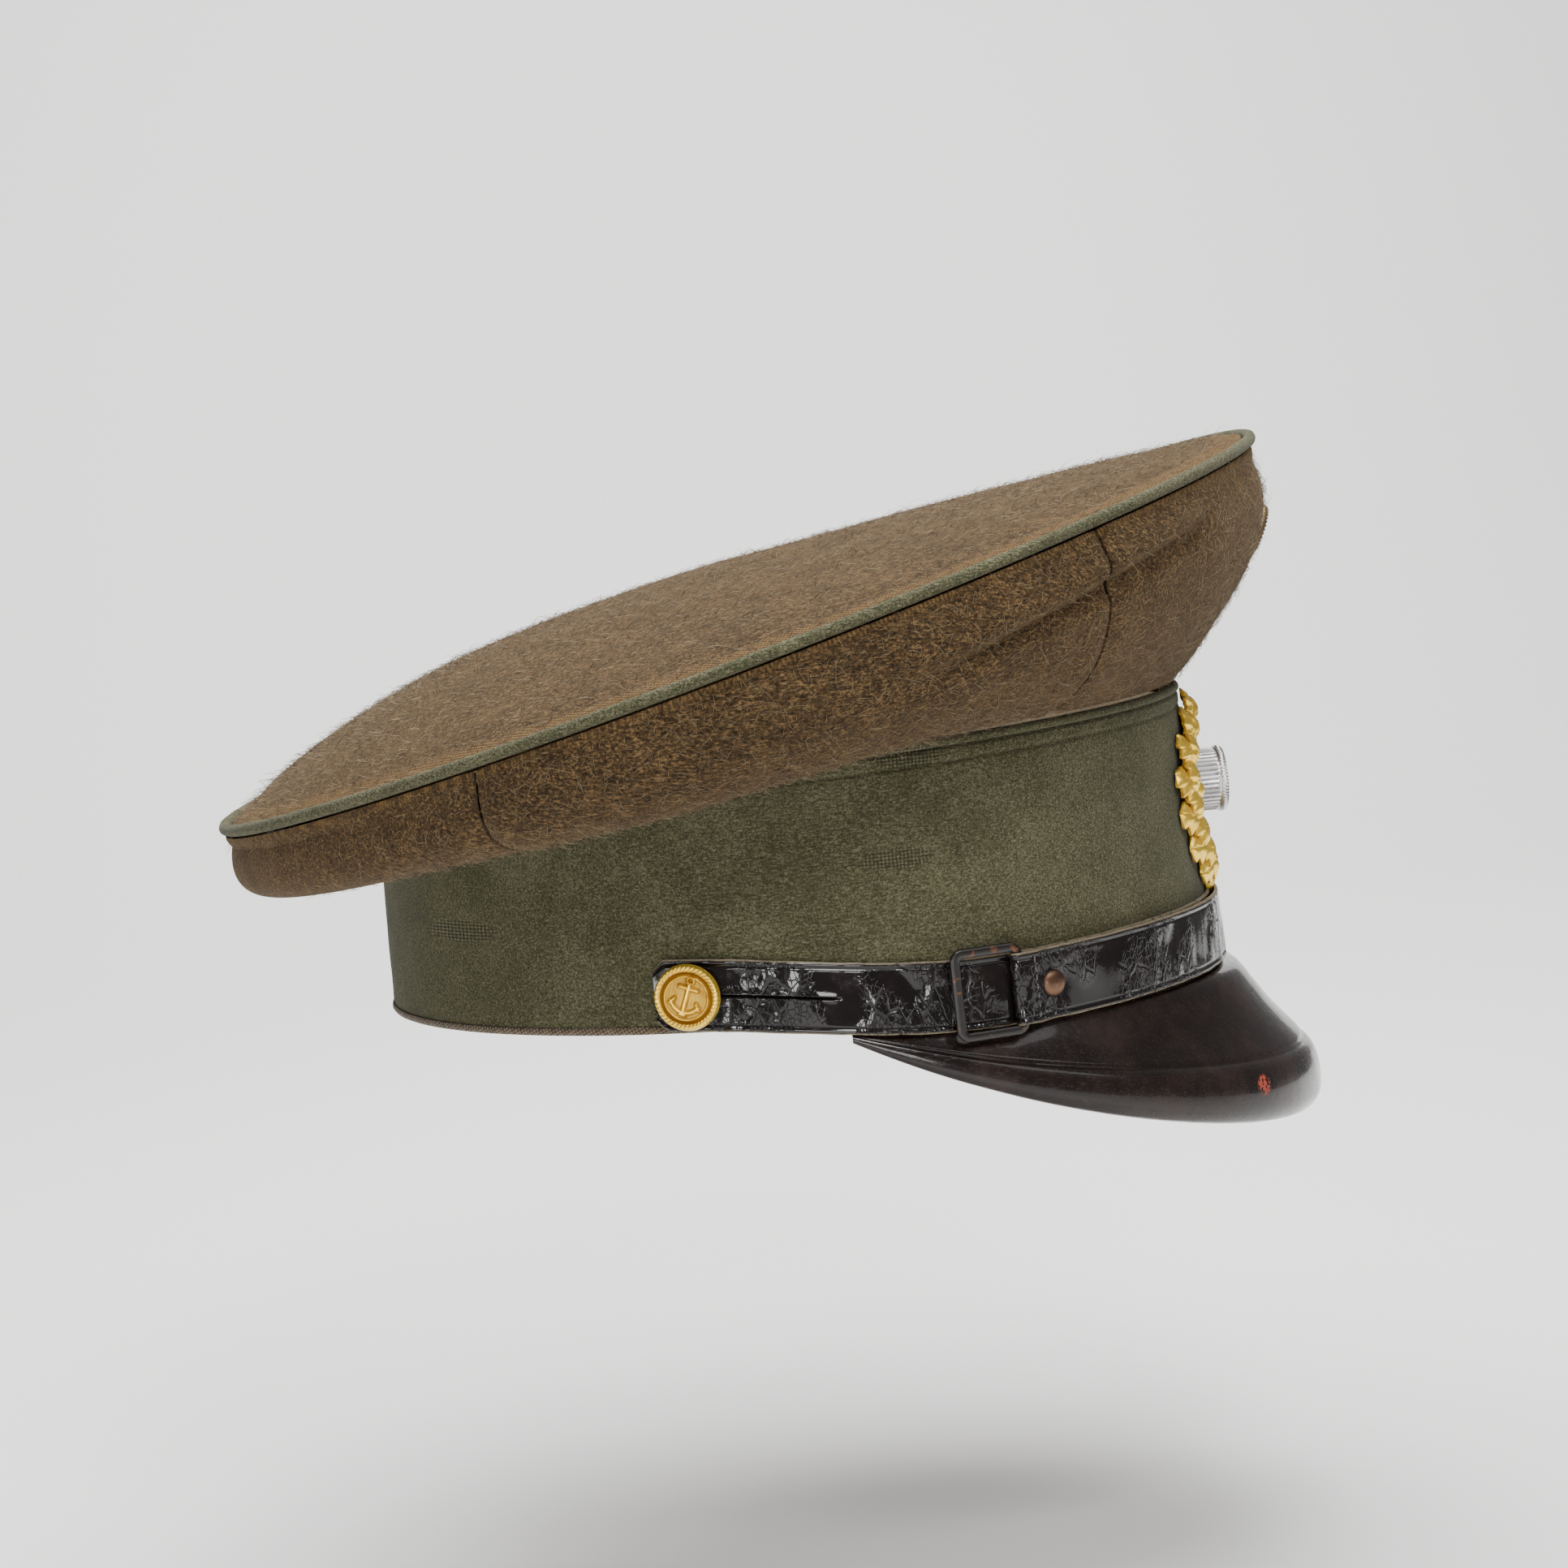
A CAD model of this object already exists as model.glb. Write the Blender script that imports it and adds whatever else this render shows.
"""Military peaked cap: the finished model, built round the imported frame.

X runs forward over the visor, Y to the wearer's left and Z up out of the head. The shape functions work in
millimetres and in degrees from the forehead; meshes are written in metres.
"""
import logging
import math
from dataclasses import dataclass, field
from enum import Enum
from functools import lru_cache
from typing import Callable, Optional, Sequence, Union

import bpy
import numpy as np
from mathutils import Matrix, Vector


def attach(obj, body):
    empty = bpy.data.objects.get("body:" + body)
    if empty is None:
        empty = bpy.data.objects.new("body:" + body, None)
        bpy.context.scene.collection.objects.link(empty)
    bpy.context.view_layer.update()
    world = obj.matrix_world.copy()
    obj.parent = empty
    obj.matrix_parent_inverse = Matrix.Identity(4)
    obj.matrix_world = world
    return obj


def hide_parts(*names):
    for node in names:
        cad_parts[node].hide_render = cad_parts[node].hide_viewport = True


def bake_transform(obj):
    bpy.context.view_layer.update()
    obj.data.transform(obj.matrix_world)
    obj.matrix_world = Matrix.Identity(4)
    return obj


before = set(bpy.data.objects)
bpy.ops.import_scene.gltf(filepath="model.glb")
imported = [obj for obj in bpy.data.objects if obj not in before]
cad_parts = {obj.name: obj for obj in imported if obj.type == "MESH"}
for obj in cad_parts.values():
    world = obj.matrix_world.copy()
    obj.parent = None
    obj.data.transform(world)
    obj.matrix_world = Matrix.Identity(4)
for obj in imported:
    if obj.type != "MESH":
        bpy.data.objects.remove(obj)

Array = np.ndarray
Number = Union[float, "Value"]
Colour = tuple[float, float, float]

MM = 0.001
CAP = "cap"
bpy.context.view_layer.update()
log = logging.getLogger("peaked_cap")


# ------------------------------------------------------------------ shader maths


class Value:
    """One output in a material's nodes, on which Python's operators add Math nodes."""

    def __init__(self, paint: "Paint", socket: bpy.types.NodeSocket) -> None:
        """Keeps the material and the output that this value stands for."""
        self.paint = paint
        self.socket = socket

    def _math(self, operation: str, first: Number, second: Optional[Number] = None) -> "Value":
        """Adds one Math node.

        Args:
            operation: Blender's name of the operation.
            first: The first operand.
            second: The second operand, where the operation has one.

        Returns:
            The node's output.
        """
        values = {0: first} if second is None else {0: first, 1: second}
        return self.paint.node("ShaderNodeMath", {"operation": operation}, values)

    def __add__(self, other: Number) -> "Value":
        """self + other."""
        return self._math("ADD", self, other)

    __radd__ = __add__

    def __sub__(self, other: Number) -> "Value":
        """self - other."""
        return self._math("SUBTRACT", self, other)

    def __rsub__(self, other: Number) -> "Value":
        """other - self."""
        return self._math("SUBTRACT", other, self)

    def __mul__(self, other: Number) -> "Value":
        """self * other."""
        return self._math("MULTIPLY", self, other)

    __rmul__ = __mul__

    def __truediv__(self, other: Number) -> "Value":
        """self / other."""
        return self._math("DIVIDE", self, other)

    def __pow__(self, other: Number) -> "Value":
        """self ** other."""
        return self._math("POWER", self, other)

    def larger(self, other: Number) -> "Value":
        """The larger of the two."""
        return self._math("MAXIMUM", self, other)

    def sine(self) -> "Value":
        """The sine of the value, in radians."""
        return self._math("SINE", self)

    def rise(self, low: float, high: float) -> "Value":
        """0 at low, 1 at high and a smooth rise between them; low may be above high.

        Args:
            low: The value that gives 0.
            high: The value that gives 1.

        Returns:
            The eased value.
        """
        if low > high:
            return 1 - self.rise(high, low)
        return self.paint.node(
            "ShaderNodeMapRange", {"interpolation_type": "SMOOTHSTEP"},
            {"Value": self, "From Min": low, "From Max": high},
        )


class Paint:
    """A material under construction: a Principled shader and the nodes that feed it."""

    def __init__(self, name: str, **constants: Union[float, Colour]) -> None:
        """Makes the material and sets the shader's constant sockets.

        Args:
            name: The material's name.
            constants: Socket names with _ for a space, and their values.
        """
        self.material = bpy.data.materials.new(name)
        self.material.use_nodes = True
        self.tree = self.material.node_tree
        self.shader = self.tree.nodes["Principled BSDF"]
        for key, value in constants.items():
            socket = self.shader.inputs[key.replace("_", " ")]
            socket.default_value = (*value, 1.0) if isinstance(value, tuple) else value
            if isinstance(value, tuple):
                self.material.diffuse_color = (*value, 1.0)

    def node(
        self,
        kind: str,
        settings: Optional[dict] = None,
        values: Optional[dict] = None,
        out: Union[int, str] = 0,
    ) -> Value:
        """Adds one node of any kind.

        Args:
            kind: Blender's node type.
            settings: Properties that are set before the sockets; "stops" sets a ramp's stops.
            values: Numbers, colours or Values for the inputs, by name or place.
            out: The output that is wanted.

        Returns:
            That output.
        """
        made = self.tree.nodes.new(kind)
        for key, setting in (settings or {}).items():
            if key == "stops":
                ramp = made.color_ramp
                while len(ramp.elements) < len(setting):
                    ramp.elements.new(0.5)
                for element, (place, colour) in zip(ramp.elements, setting):
                    element.position = place
                    element.color = (*colour, 1.0)
            else:
                setattr(made, key, setting)
        for key, value in (values or {}).items():
            socket = made.inputs[key]
            if isinstance(value, Value):
                self.tree.links.new(value.socket, socket)
            elif isinstance(value, tuple) and len(socket.default_value) == 4:
                socket.default_value = (*value, 1.0)
            else:
                socket.default_value = value
        return Value(self, made.outputs[out])

    def place(self) -> Value:
        """The point on the piece, in metres in the row frame."""
        return self.node("ShaderNodeTexCoord", out="Object")

    def attribute(self, name: str, out: str = "Fac") -> Value:
        """A number or vector that the mesh holds at its points."""
        return self.node("ShaderNodeAttribute", {"attribute_name": name}, out=out)

    def mapped(self, vector: Value, scale: Sequence[float], turn: Sequence[float] = (0, 0, 0)) -> Value:
        """The vector turned by degrees and then scaled."""
        angles = tuple(math.radians(a) for a in turn)
        return self.node("ShaderNodeMapping", {}, {"Vector": vector, "Scale": tuple(scale), "Rotation": angles})

    def noise(self, vector: Value, scale: float, detail: float = 3, rough: float = 0.55, warp: float = 0) -> Value:
        """Fractal noise from 0 to 1 at a scale in waves a metre."""
        return self.node(
            "ShaderNodeTexNoise",
            {},
            {"Vector": vector, "Scale": scale, "Detail": detail, "Roughness": rough, "Distortion": warp},
        )

    def cells(self, vector: Value, scale: float, feature: str = "F1") -> Value:
        """Distance in a Voronoi pattern: to the nearest point, or to the nearest edge."""
        return self.node("ShaderNodeTexVoronoi", {"feature": feature}, {"Vector": vector, "Scale": scale}, "Distance")

    def split(self, vector: Value) -> tuple[Value, Value, Value]:
        """The three parts of a vector."""
        made = self.tree.nodes.new("ShaderNodeSeparateXYZ")
        self.tree.links.new(vector.socket, made.inputs[0])
        return tuple(Value(self, made.outputs[i]) for i in range(3))

    def ramp(self, factor: Value, *stops: tuple[float, Colour]) -> Value:
        """A colour from a ramp of (place, colour) stops."""
        return self.node("ShaderNodeValToRGB", {"stops": stops}, {"Fac": factor})

    def mix(self, factor: Number, low: Union[Value, Colour], high: Union[Value, Colour]) -> Value:
        """low where the factor is 0 and high where it is 1, as colours."""
        return self.node(
            "ShaderNodeMix", {"data_type": "RGBA"}, {0: factor, 6: low, 7: high}, 2
        )

    def near(self, point: Sequence[float], radii: Sequence[float]) -> Value:
        """1 at a point in millimetres and 0 outside an ellipsoid of those radii round it."""
        away = self.node(
            "ShaderNodeVectorMath",
            {"operation": "SUBTRACT"},
            {0: self.place(), 1: tuple(c * MM for c in point)},
        )
        scaled = self.node(
            "ShaderNodeVectorMath", {"operation": "DIVIDE"}, {0: away, 1: tuple(r * MM for r in radii)}
        )
        length = self.node("ShaderNodeVectorMath", {"operation": "LENGTH"}, {0: scaled}, "Value")
        return length.rise(1.0, 0.6)

    def feed(self, **links: Value) -> "Paint":
        """Links Values to the shader's sockets, by name with _ for a space."""
        for key, value in links.items():
            self.tree.links.new(value.socket, self.shader.inputs[key.replace("_", " ")])
        return self

    def bump(self, *layers: tuple[Value, float]) -> "Paint":
        """Chains Bump nodes of (height, depth in millimetres) and feeds the shader's normal."""
        normal: Optional[Value] = None
        for height, depth in layers:
            values = {"Height": height, "Distance": depth * MM, "Strength": 1.0}
            if normal is not None:
                values["Normal"] = normal
            normal = self.node("ShaderNodeBump", {}, values)
        return self.feed(Normal=normal)


# ------------------------------------------------------------------ finishes


@dataclass(frozen=True)
class Wool:
    """Napped heathered wool: crossing hair streaks in several browns over a soft ground."""

    name: str = "heathered_wool"
    dark: Colour = (0.0138, 0.0081, 0.0039)
    middle: Colour = (0.0555, 0.0328, 0.0144)
    light: Colour = (0.178, 0.11, 0.047)
    green: Colour = (0.041, 0.034, 0.016)
    bare: Colour = (0.215, 0.124, 0.042)
    hair: float = 2600.0

    def make(self) -> bpy.types.Material:
        """Builds the material; "bare" on the mesh is 1 where the nap is worn down to the weave."""
        paint = Paint(self.name, Roughness=0.95, Sheen_Weight=0.12, Sheen_Roughness=0.5, Sheen_Tint=(0.85, 0.62, 0.38),
                      Specular_IOR_Level=0.15)
        at = paint.place()
        streaks = [
            paint.noise(paint.mapped(at, (0.16, 1, 0.7), turn), self.hair, 2, 0.5, 0.6)
            for turn in ((20, 15, 25), (-30, 10, -48), (5, -25, 80))
        ]
        hair = streaks[0].larger(streaks[1]).larger(streaks[2])
        fleck = paint.noise(at, 1500, 3, 0.65)
        cloud = paint.noise(at, 90, 4, 0.6)
        tone = hair * 1.0 + fleck * 0.6 + cloud * 0.16 - 0.6
        colour = paint.ramp(tone, (0.22, self.dark), (0.38, self.middle), (0.56, self.light))
        patches = paint.noise(paint.mapped(at, (1, 1, 1)), 260, 3, 0.6)
        colour = paint.mix(patches.rise(0.5, 0.75) * 0.3, colour, self.green)
        cloth = paint.attribute("cloth", "Vector")
        along, across, _ = paint.split(cloth)
        twill = ((along + across) * 5200).sine() * 0.5 + ((along - across * 0.35) * 7400).sine() * 0.35
        worn = paint.attribute("bare") * (paint.noise(at, 420, 3, 0.6).rise(0.3, 0.58))
        weave = paint.mix((twill + fleck).rise(0.1, 1.2), self.middle, self.bare)
        colour = paint.mix(worn * 0.8, colour, weave)
        paint.feed(Base_Color=colour)
        return paint.bump((cloud, 0.2), (hair + fleck * 0.5, 0.35), (twill * worn, 0.15)).material


@dataclass(frozen=True)
class Felt:
    """Dense felt or doeskin: a fine even ground with short stray hairs and thin open patches."""

    name: str
    ground: Colour
    fleck: Colour
    thin_at: tuple[tuple[float, float, float], ...] = ()
    thin_radii: tuple[float, float, float] = (11, 30, 3.2)

    def make(self) -> bpy.types.Material:
        """Builds the material; thin_at gives the middles of the patches that show the weave."""
        paint = Paint(self.name, Roughness=0.93, Sheen_Weight=0.05, Sheen_Roughness=0.5, Specular_IOR_Level=0.12)
        at = paint.place()
        fine = paint.noise(at, 2300, 3, 0.6)
        hairs = paint.noise(paint.mapped(at, (0.2, 1, 1), (25, 30, 40)), 3000, 2, 0.5, 0.8)
        cloud = paint.noise(at, 60, 4, 0.6)
        tone = fine * 0.75 + hairs * 0.55 + cloud * 0.2 - 0.2
        dark = tuple(c * 0.42 for c in self.ground)
        colour = paint.ramp(tone, (0.36, dark), (0.53, self.ground), (0.74, self.fleck))
        layers = [(cloud, 0.35), (fine + hairs * 0.6, 0.12)]
        if self.thin_at:
            thin = paint.near(self.thin_at[0], self.thin_radii)
            for point in self.thin_at[1:]:
                thin = thin.larger(paint.near(point, self.thin_radii))
            x, _, z = paint.split(at)
            net = (x * 7000).sine() * 0.5 + (z * 7800).sine() * 0.5
            thin = thin * fine.rise(0.36, 0.52)
            colour = paint.mix(thin * net.rise(-0.1, 0.5) * 0.75, colour, tuple(c * 0.3 for c in self.ground))
            colour = paint.mix(thin * net.rise(-0.1, -0.6) * 0.5, colour, self.fleck)
            layers.append((net * thin, 0.16))
        paint.feed(Base_Color=colour)
        return paint.bump(*layers).material


@dataclass(frozen=True)
class Woven:
    """Plain or twill cloth that follows the mesh's own cloth coordinates."""

    name: str
    thread: Colour
    gap: Colour
    pitch: float = 0.6
    slant: float = 0.0
    depth: float = 0.1
    sheen: float = 0.2

    def make(self) -> bpy.types.Material:
        """Builds the material: two crossing sine ribs a pitch apart in millimetres."""
        paint = Paint(self.name, Roughness=0.9, Sheen_Weight=self.sheen, Specular_IOR_Level=0.2)
        along, across, _ = paint.split(paint.attribute("cloth", "Vector"))
        wave = 2 * math.pi / (self.pitch * MM)
        ribs = ((along + across * self.slant) * wave).sine() * 0.5 + ((across - along * self.slant) * wave).sine() * 0.5
        slub = paint.noise(paint.place(), 700, 3, 0.6)
        tone = ribs * 0.4 + slub
        colour = paint.mix(tone.rise(0.1, 0.9), self.gap, self.thread)
        paint.feed(Base_Color=colour)
        return paint.bump((ribs, self.depth), (slub, self.depth)).material


@dataclass(frozen=True)
class Leather:
    """Grained or patent leather: lacquer over a dark ground, with cracks held by the mesh."""

    name: str
    ground: Colour
    raised: Colour
    raw: Colour = (0.2, 0.16, 0.1)
    gloss: float = 0.2
    grain: float = 900.0
    depth: float = 0.05

    def make(self) -> bpy.types.Material:
        """Builds the material; "raw" on the mesh is 1 on cut edges, "crack" is 1 in the cracks."""
        paint = Paint(self.name, Specular_IOR_Level=0.45)
        at = paint.place()
        wander = paint.node("ShaderNodeTexNoise", {}, {"Vector": at, "Scale": 190.0, "Detail": 2.0}, "Color")
        cloth = paint.attribute("cloth", "Vector")
        bent = paint.node("ShaderNodeVectorMath", {"operation": "MULTIPLY_ADD"},
                          {0: wander, 1: (0.0022,) * 3, 2: cloth})
        coarse = paint.cells(paint.mapped(bent, (1, 0.38, 1)), 260, "DISTANCE_TO_EDGE")
        fine = paint.cells(paint.mapped(bent, (1, 0.55, 1)), 900, "DISTANCE_TO_EDGE")
        plateau = paint.cells(paint.mapped(bent, (1, 0.38, 1)), 260)
        waves = paint.noise(cloth, 55, 1, 0.5)
        zones = waves.rise(0.43, 0.6)
        grain = paint.noise(at, self.grain, 4, 0.6)
        pores = paint.cells(at, self.grain * 1.4, "DISTANCE_TO_EDGE").rise(0.0, 0.25)
        wear = paint.noise(at, 130, 4, 0.65)
        cracked = paint.attribute("crack") * zones
        crack = coarse.rise(0.07, 0.0).larger(fine.rise(0.07, 0.0) * 0.6) * cracked
        raw = paint.attribute("raw")
        colour = paint.mix(wear.rise(0.45, 0.75) * 0.6, self.ground, self.raised)
        colour = paint.mix(crack * 0.6, colour, tuple(c * 0.5 for c in self.ground))
        colour = paint.mix(raw * grain.rise(0.25, 0.5), colour, self.raw)
        rough = self.gloss + wear.rise(0.5, 0.9) * 0.2 + crack * 0.35 + raw * 0.5
        paint.feed(Base_Color=colour, Roughness=rough)
        return paint.bump((waves, 1.1), (plateau * cracked, 1.0), (0 - crack, 0.3), (grain, self.depth),
                          (pores, self.depth * 0.4)).material


@dataclass(frozen=True)
class Fibreware:
    """Glossy vulcanised fibre: deep lacquer, fine hair scratches and one chip on the edge."""

    name: str = "vulcanised_fibre"
    ground: Colour = (0.0095, 0.006, 0.0053)
    brown: Colour = (0.024, 0.0135, 0.0105)
    under: Colour = (0.085, 0.045, 0.028)
    chip: Colour = (0.3, 0.05, 0.03)
    chip_at: tuple[float, float, float] = (105.0, -58.6, -30.3)

    def make(self) -> bpy.types.Material:
        """Builds the material; "inside" on the mesh is 1 on the underside."""
        paint = Paint(self.name, Specular_IOR_Level=0.22, Coat_Roughness=0.05, Coat_IOR=1.35)
        at = paint.place()
        scratches = [
            paint.noise(paint.mapped(at, (0.05, 1, 1), turn), 2600, 2, 0.5).rise(0.62, 0.72)
            for turn in ((0, 30, 35), (0, -40, -25), (20, 60, 70))
        ]
        scratch = scratches[0].larger(scratches[1]).larger(scratches[2])
        cloud = paint.noise(at, 70, 5, 0.62)
        ripple = paint.noise(at, 230, 3, 0.5)
        dust = paint.noise(at, 5000, 2, 0.5).rise(0.66, 0.78)
        chip = paint.near(self.chip_at, (3.2, 3.2, 3.0)) * paint.noise(at, 900, 3, 0.6).rise(0.42, 0.5)
        inside = paint.attribute("inside")
        colour = paint.mix(cloud.rise(0.4, 0.75), self.ground, self.brown)
        colour = paint.mix(scratch * 0.18 + dust * 0.2, colour, tuple(c * 3 for c in self.brown))
        colour = paint.mix(chip, colour, self.chip)
        colour = paint.mix(inside, colour, self.under)
        rough = cloud.rise(0.3, 0.75) * 0.16 + 0.17 + scratch * 0.18 + inside * 0.3 + chip * 0.4
        paint.feed(Base_Color=colour, Roughness=rough, Coat_Weight=(1 - inside * 0.8) * (1 - chip) * 0.5)
        return paint.bump((cloud, 0.25), (ripple, 0.05), (scratch + dust * 0.4, 0.008)).material


@dataclass(frozen=True)
class Metal:
    """Plated, painted or bare metal: tarnish in its hollows and wear on its high places."""

    name: str
    bright: Colour
    dull: Colour
    metallic: float = 1.0
    gloss: float = 0.28
    worn: Optional[Colour] = None
    pits: float = 0.02

    def make(self) -> bpy.types.Material:
        """Builds the material; "hollow" on the mesh runs from 0 on high places to 1 in recesses."""
        paint = Paint(self.name, Specular_IOR_Level=0.5)
        at = paint.place()
        tarnish = paint.noise(at, 380, 4, 0.65)
        speck = paint.noise(at, 3200, 3, 0.6)
        hollow = paint.attribute("hollow")
        dirt = (hollow * 0.95 + tarnish.rise(0.45, 0.8) * 0.45 + speck.rise(0.58, 0.75) * 0.25).rise(0.05, 1.1)
        colour = paint.mix(dirt, self.bright, self.dull)
        rough = self.gloss + dirt * 0.3 + speck * 0.08
        metallic = self.metallic - dirt * 0.25
        if self.worn:
            bare = paint.attribute("wear") * tarnish.rise(0.58, 0.66)
            bare = bare.larger(tarnish.rise(0.72, 0.78) * speck.rise(0.4, 0.6))
            colour = paint.mix(bare, colour, self.worn)
            metallic = bare * 0.9 + self.metallic
        paint.feed(Base_Color=colour, Roughness=rough, Metallic=metallic)
        return paint.bump((tarnish, 0.05), (speck, self.pits)).material


@dataclass(frozen=True)
class Matter:
    """Plain stuff with a mottled tone, for what lies hidden inside: wadding, fibreboard, thread."""

    name: str
    low: Colour
    high: Colour
    scale: float = 900.0
    depth: float = 0.1
    roughness: float = 0.85
    alpha: float = 1.0

    def make(self) -> bpy.types.Material:
        """Builds the material."""
        paint = Paint(self.name, Roughness=self.roughness, Alpha=self.alpha)
        mottle = paint.noise(paint.place(), self.scale, 4, 0.6)
        paint.feed(Base_Color=paint.mix(mottle.rise(0.3, 0.7), self.low, self.high))
        return paint.bump((mottle, self.depth)).material


@dataclass(frozen=True)
class Hair:
    """Loose wool hairs of one tone."""

    name: str
    tone: Colour

    def make(self) -> bpy.types.Material:
        """Builds the material, with constants only, because a hair is thinner than any pattern."""
        return Paint(self.name, Base_Color=self.tone, Roughness=0.7, Specular_IOR_Level=0.3).material


class Stuff(Enum):
    """Every finish on the cap."""

    WOOL = Wool()
    BAND_FELT = Felt("green_felt", (0.052, 0.051, 0.025), (0.145, 0.133, 0.079),
                     ((22, -86, 59.5), (17.5, -87, 36.5), (-84, -48, 24.5)))
    PIPING = Felt("green_piping_cloth", (0.055, 0.056, 0.029), (0.168, 0.15, 0.09))
    EDGE_CLOTH = Woven("brown_edge_cloth", (0.19, 0.135, 0.075), (0.035, 0.025, 0.016), 0.9, 0.5, 0.2)
    LINING = Woven("gold_brown_sateen", (0.42, 0.27, 0.1), (0.25, 0.15, 0.05), 0.35, 0.3, 0.03, 0.4)
    CANVAS = Woven("linen_canvas", (0.6, 0.54, 0.42), (0.3, 0.26, 0.19), 1.1, 0.0, 0.12)
    RIBBON = Woven("dark_ribbon", (0.05, 0.035, 0.028), (0.02, 0.014, 0.012), 0.4, 0.0, 0.05, 0.4)
    PATENT = Leather("patent_leather", (0.006, 0.004, 0.0038), (0.018, 0.011, 0.0095), gloss=0.08, grain=500.0,
                     depth=0.006)
    SWEAT_LEATHER = Leather("brown_sheepskin", (0.17, 0.075, 0.03), (0.3, 0.16, 0.075), (0.35, 0.22, 0.12), 0.45,
                            1300.0, 0.08)
    VISOR = Fibreware()
    GILT = Metal("pressed_gilt", (1.0, 0.66, 0.08), (0.3, 0.13, 0.008), metallic=0.78, gloss=0.24)
    GILT_BACK = Metal("plain_gilt", (0.62, 0.42, 0.14), (0.2, 0.11, 0.03), gloss=0.35)
    SILVER = Metal("satin_silver", (0.66, 0.65, 0.65), (0.2, 0.19, 0.19), gloss=0.3)
    BRONZE = Metal("aged_bronze", (0.15, 0.085, 0.055), (0.04, 0.022, 0.015), gloss=0.34)
    BADGE = Metal("dull_bronze", (0.33, 0.22, 0.115), (0.075, 0.045, 0.022), gloss=0.38)
    SLIDE = Metal("worn_black_paint", (0.012, 0.009, 0.008), (0.006, 0.004, 0.004), 0.05, 0.26, (0.26, 0.1, 0.045),
                  0.03)
    STEEL = Metal("bright_steel", (0.55, 0.55, 0.56), (0.2, 0.19, 0.18), gloss=0.3)
    LACQUER = Matter("dark_lacquer", (0.012, 0.013, 0.017), (0.022, 0.024, 0.03), 300.0, 0.02, 0.15)
    THREAD = Matter("waxed_thread", (0.035, 0.03, 0.028), (0.16, 0.14, 0.12), 2500.0, 0.05, 0.5)
    TAN_THREAD = Matter("tan_thread", (0.3, 0.2, 0.1), (0.5, 0.36, 0.2), 2500.0, 0.05, 0.7)
    WADDING = Matter("cotton_wadding", (0.6, 0.57, 0.48), (0.82, 0.79, 0.7), 500.0, 0.6)
    FIBREBOARD = Matter("pressed_fibreboard", (0.3, 0.25, 0.17), (0.46, 0.4, 0.29), 1200.0, 0.06)
    SHIELD = Matter("amber_sheet", (0.5, 0.36, 0.14), (0.62, 0.48, 0.22), 60.0, 0.02, 0.12, 0.35)
    HAIR_TAN = Hair("hair_tan", (0.245, 0.184, 0.106))
    HAIR_BROWN = Hair("hair_brown", (0.128, 0.092, 0.052))
    HAIR_DARK = Hair("hair_dark", (0.04, 0.028, 0.016))
    HAIR_GREEN = Hair("hair_green", (0.13, 0.15, 0.095))

    @property
    def material(self) -> bpy.types.Material:
        """The finish's material, made the first time that it is asked for."""
        return made_once(self)


@lru_cache(maxsize=None)
def made_once(stuff: Stuff) -> bpy.types.Material:
    """Makes a finish's material once and keeps it."""
    return stuff.value.make()


# ------------------------------------------------------------------ numpy helpers


def smooth(x: Array, low: float, high: float) -> Array:
    """0 below low, 1 above high, and 3t^2 - 2t^3 between; low may be above high."""
    t = np.clip((x - low) / (high - low), 0, 1)
    return t * t * (3 - 2 * t)


def unit(v: Array) -> Array:
    """Vectors divided by their lengths."""
    return v / np.maximum(np.linalg.norm(v, axis=-1, keepdims=True), 1e-12)


def stack(*parts: Union[Array, float]) -> Array:
    """Joins three coordinate arrays into points, after they are spread to one shape."""
    return np.stack(np.broadcast_arrays(*parts), -1).astype(float)


def lattice(p: Array, seed: int) -> Array:
    """Value noise from -1 to 1 at points: random values on a cubic lattice, eased between its corners.

    Args:
        p: Points of shape (..., 3), in cells of the lattice.
        seed: Picks the random values.

    Returns:
        The noise, of shape (...).
    """
    cell = np.floor(p).astype(np.int64)
    t = p - cell
    t = t * t * (3 - 2 * t)
    total = np.zeros(p.shape[:-1])
    for corner in np.ndindex(2, 2, 2):
        c = cell + corner
        mixed = c[..., 0] * 374761393 + c[..., 1] * 668265263 + c[..., 2] * 2147483647 + seed * 1274126177
        mixed = (mixed ^ (mixed >> 13)) * 1103515245
        value = ((mixed ^ (mixed >> 16)) & 0xFFFF) / 32767.5 - 1
        share = np.prod(np.where(corner, t, 1 - t), axis=-1)
        total += value * share
    return total


def folds(p: Array, size: float, seed: int, octaves: int = 3) -> Array:
    """Sum of value noises, each half as large and half as strong as the one before; size is in millimetres."""
    return sum(lattice(p / (size / 2**k), seed + k) / 2**k for k in range(octaves))


# ------------------------------------------------------------------ meshes


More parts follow.
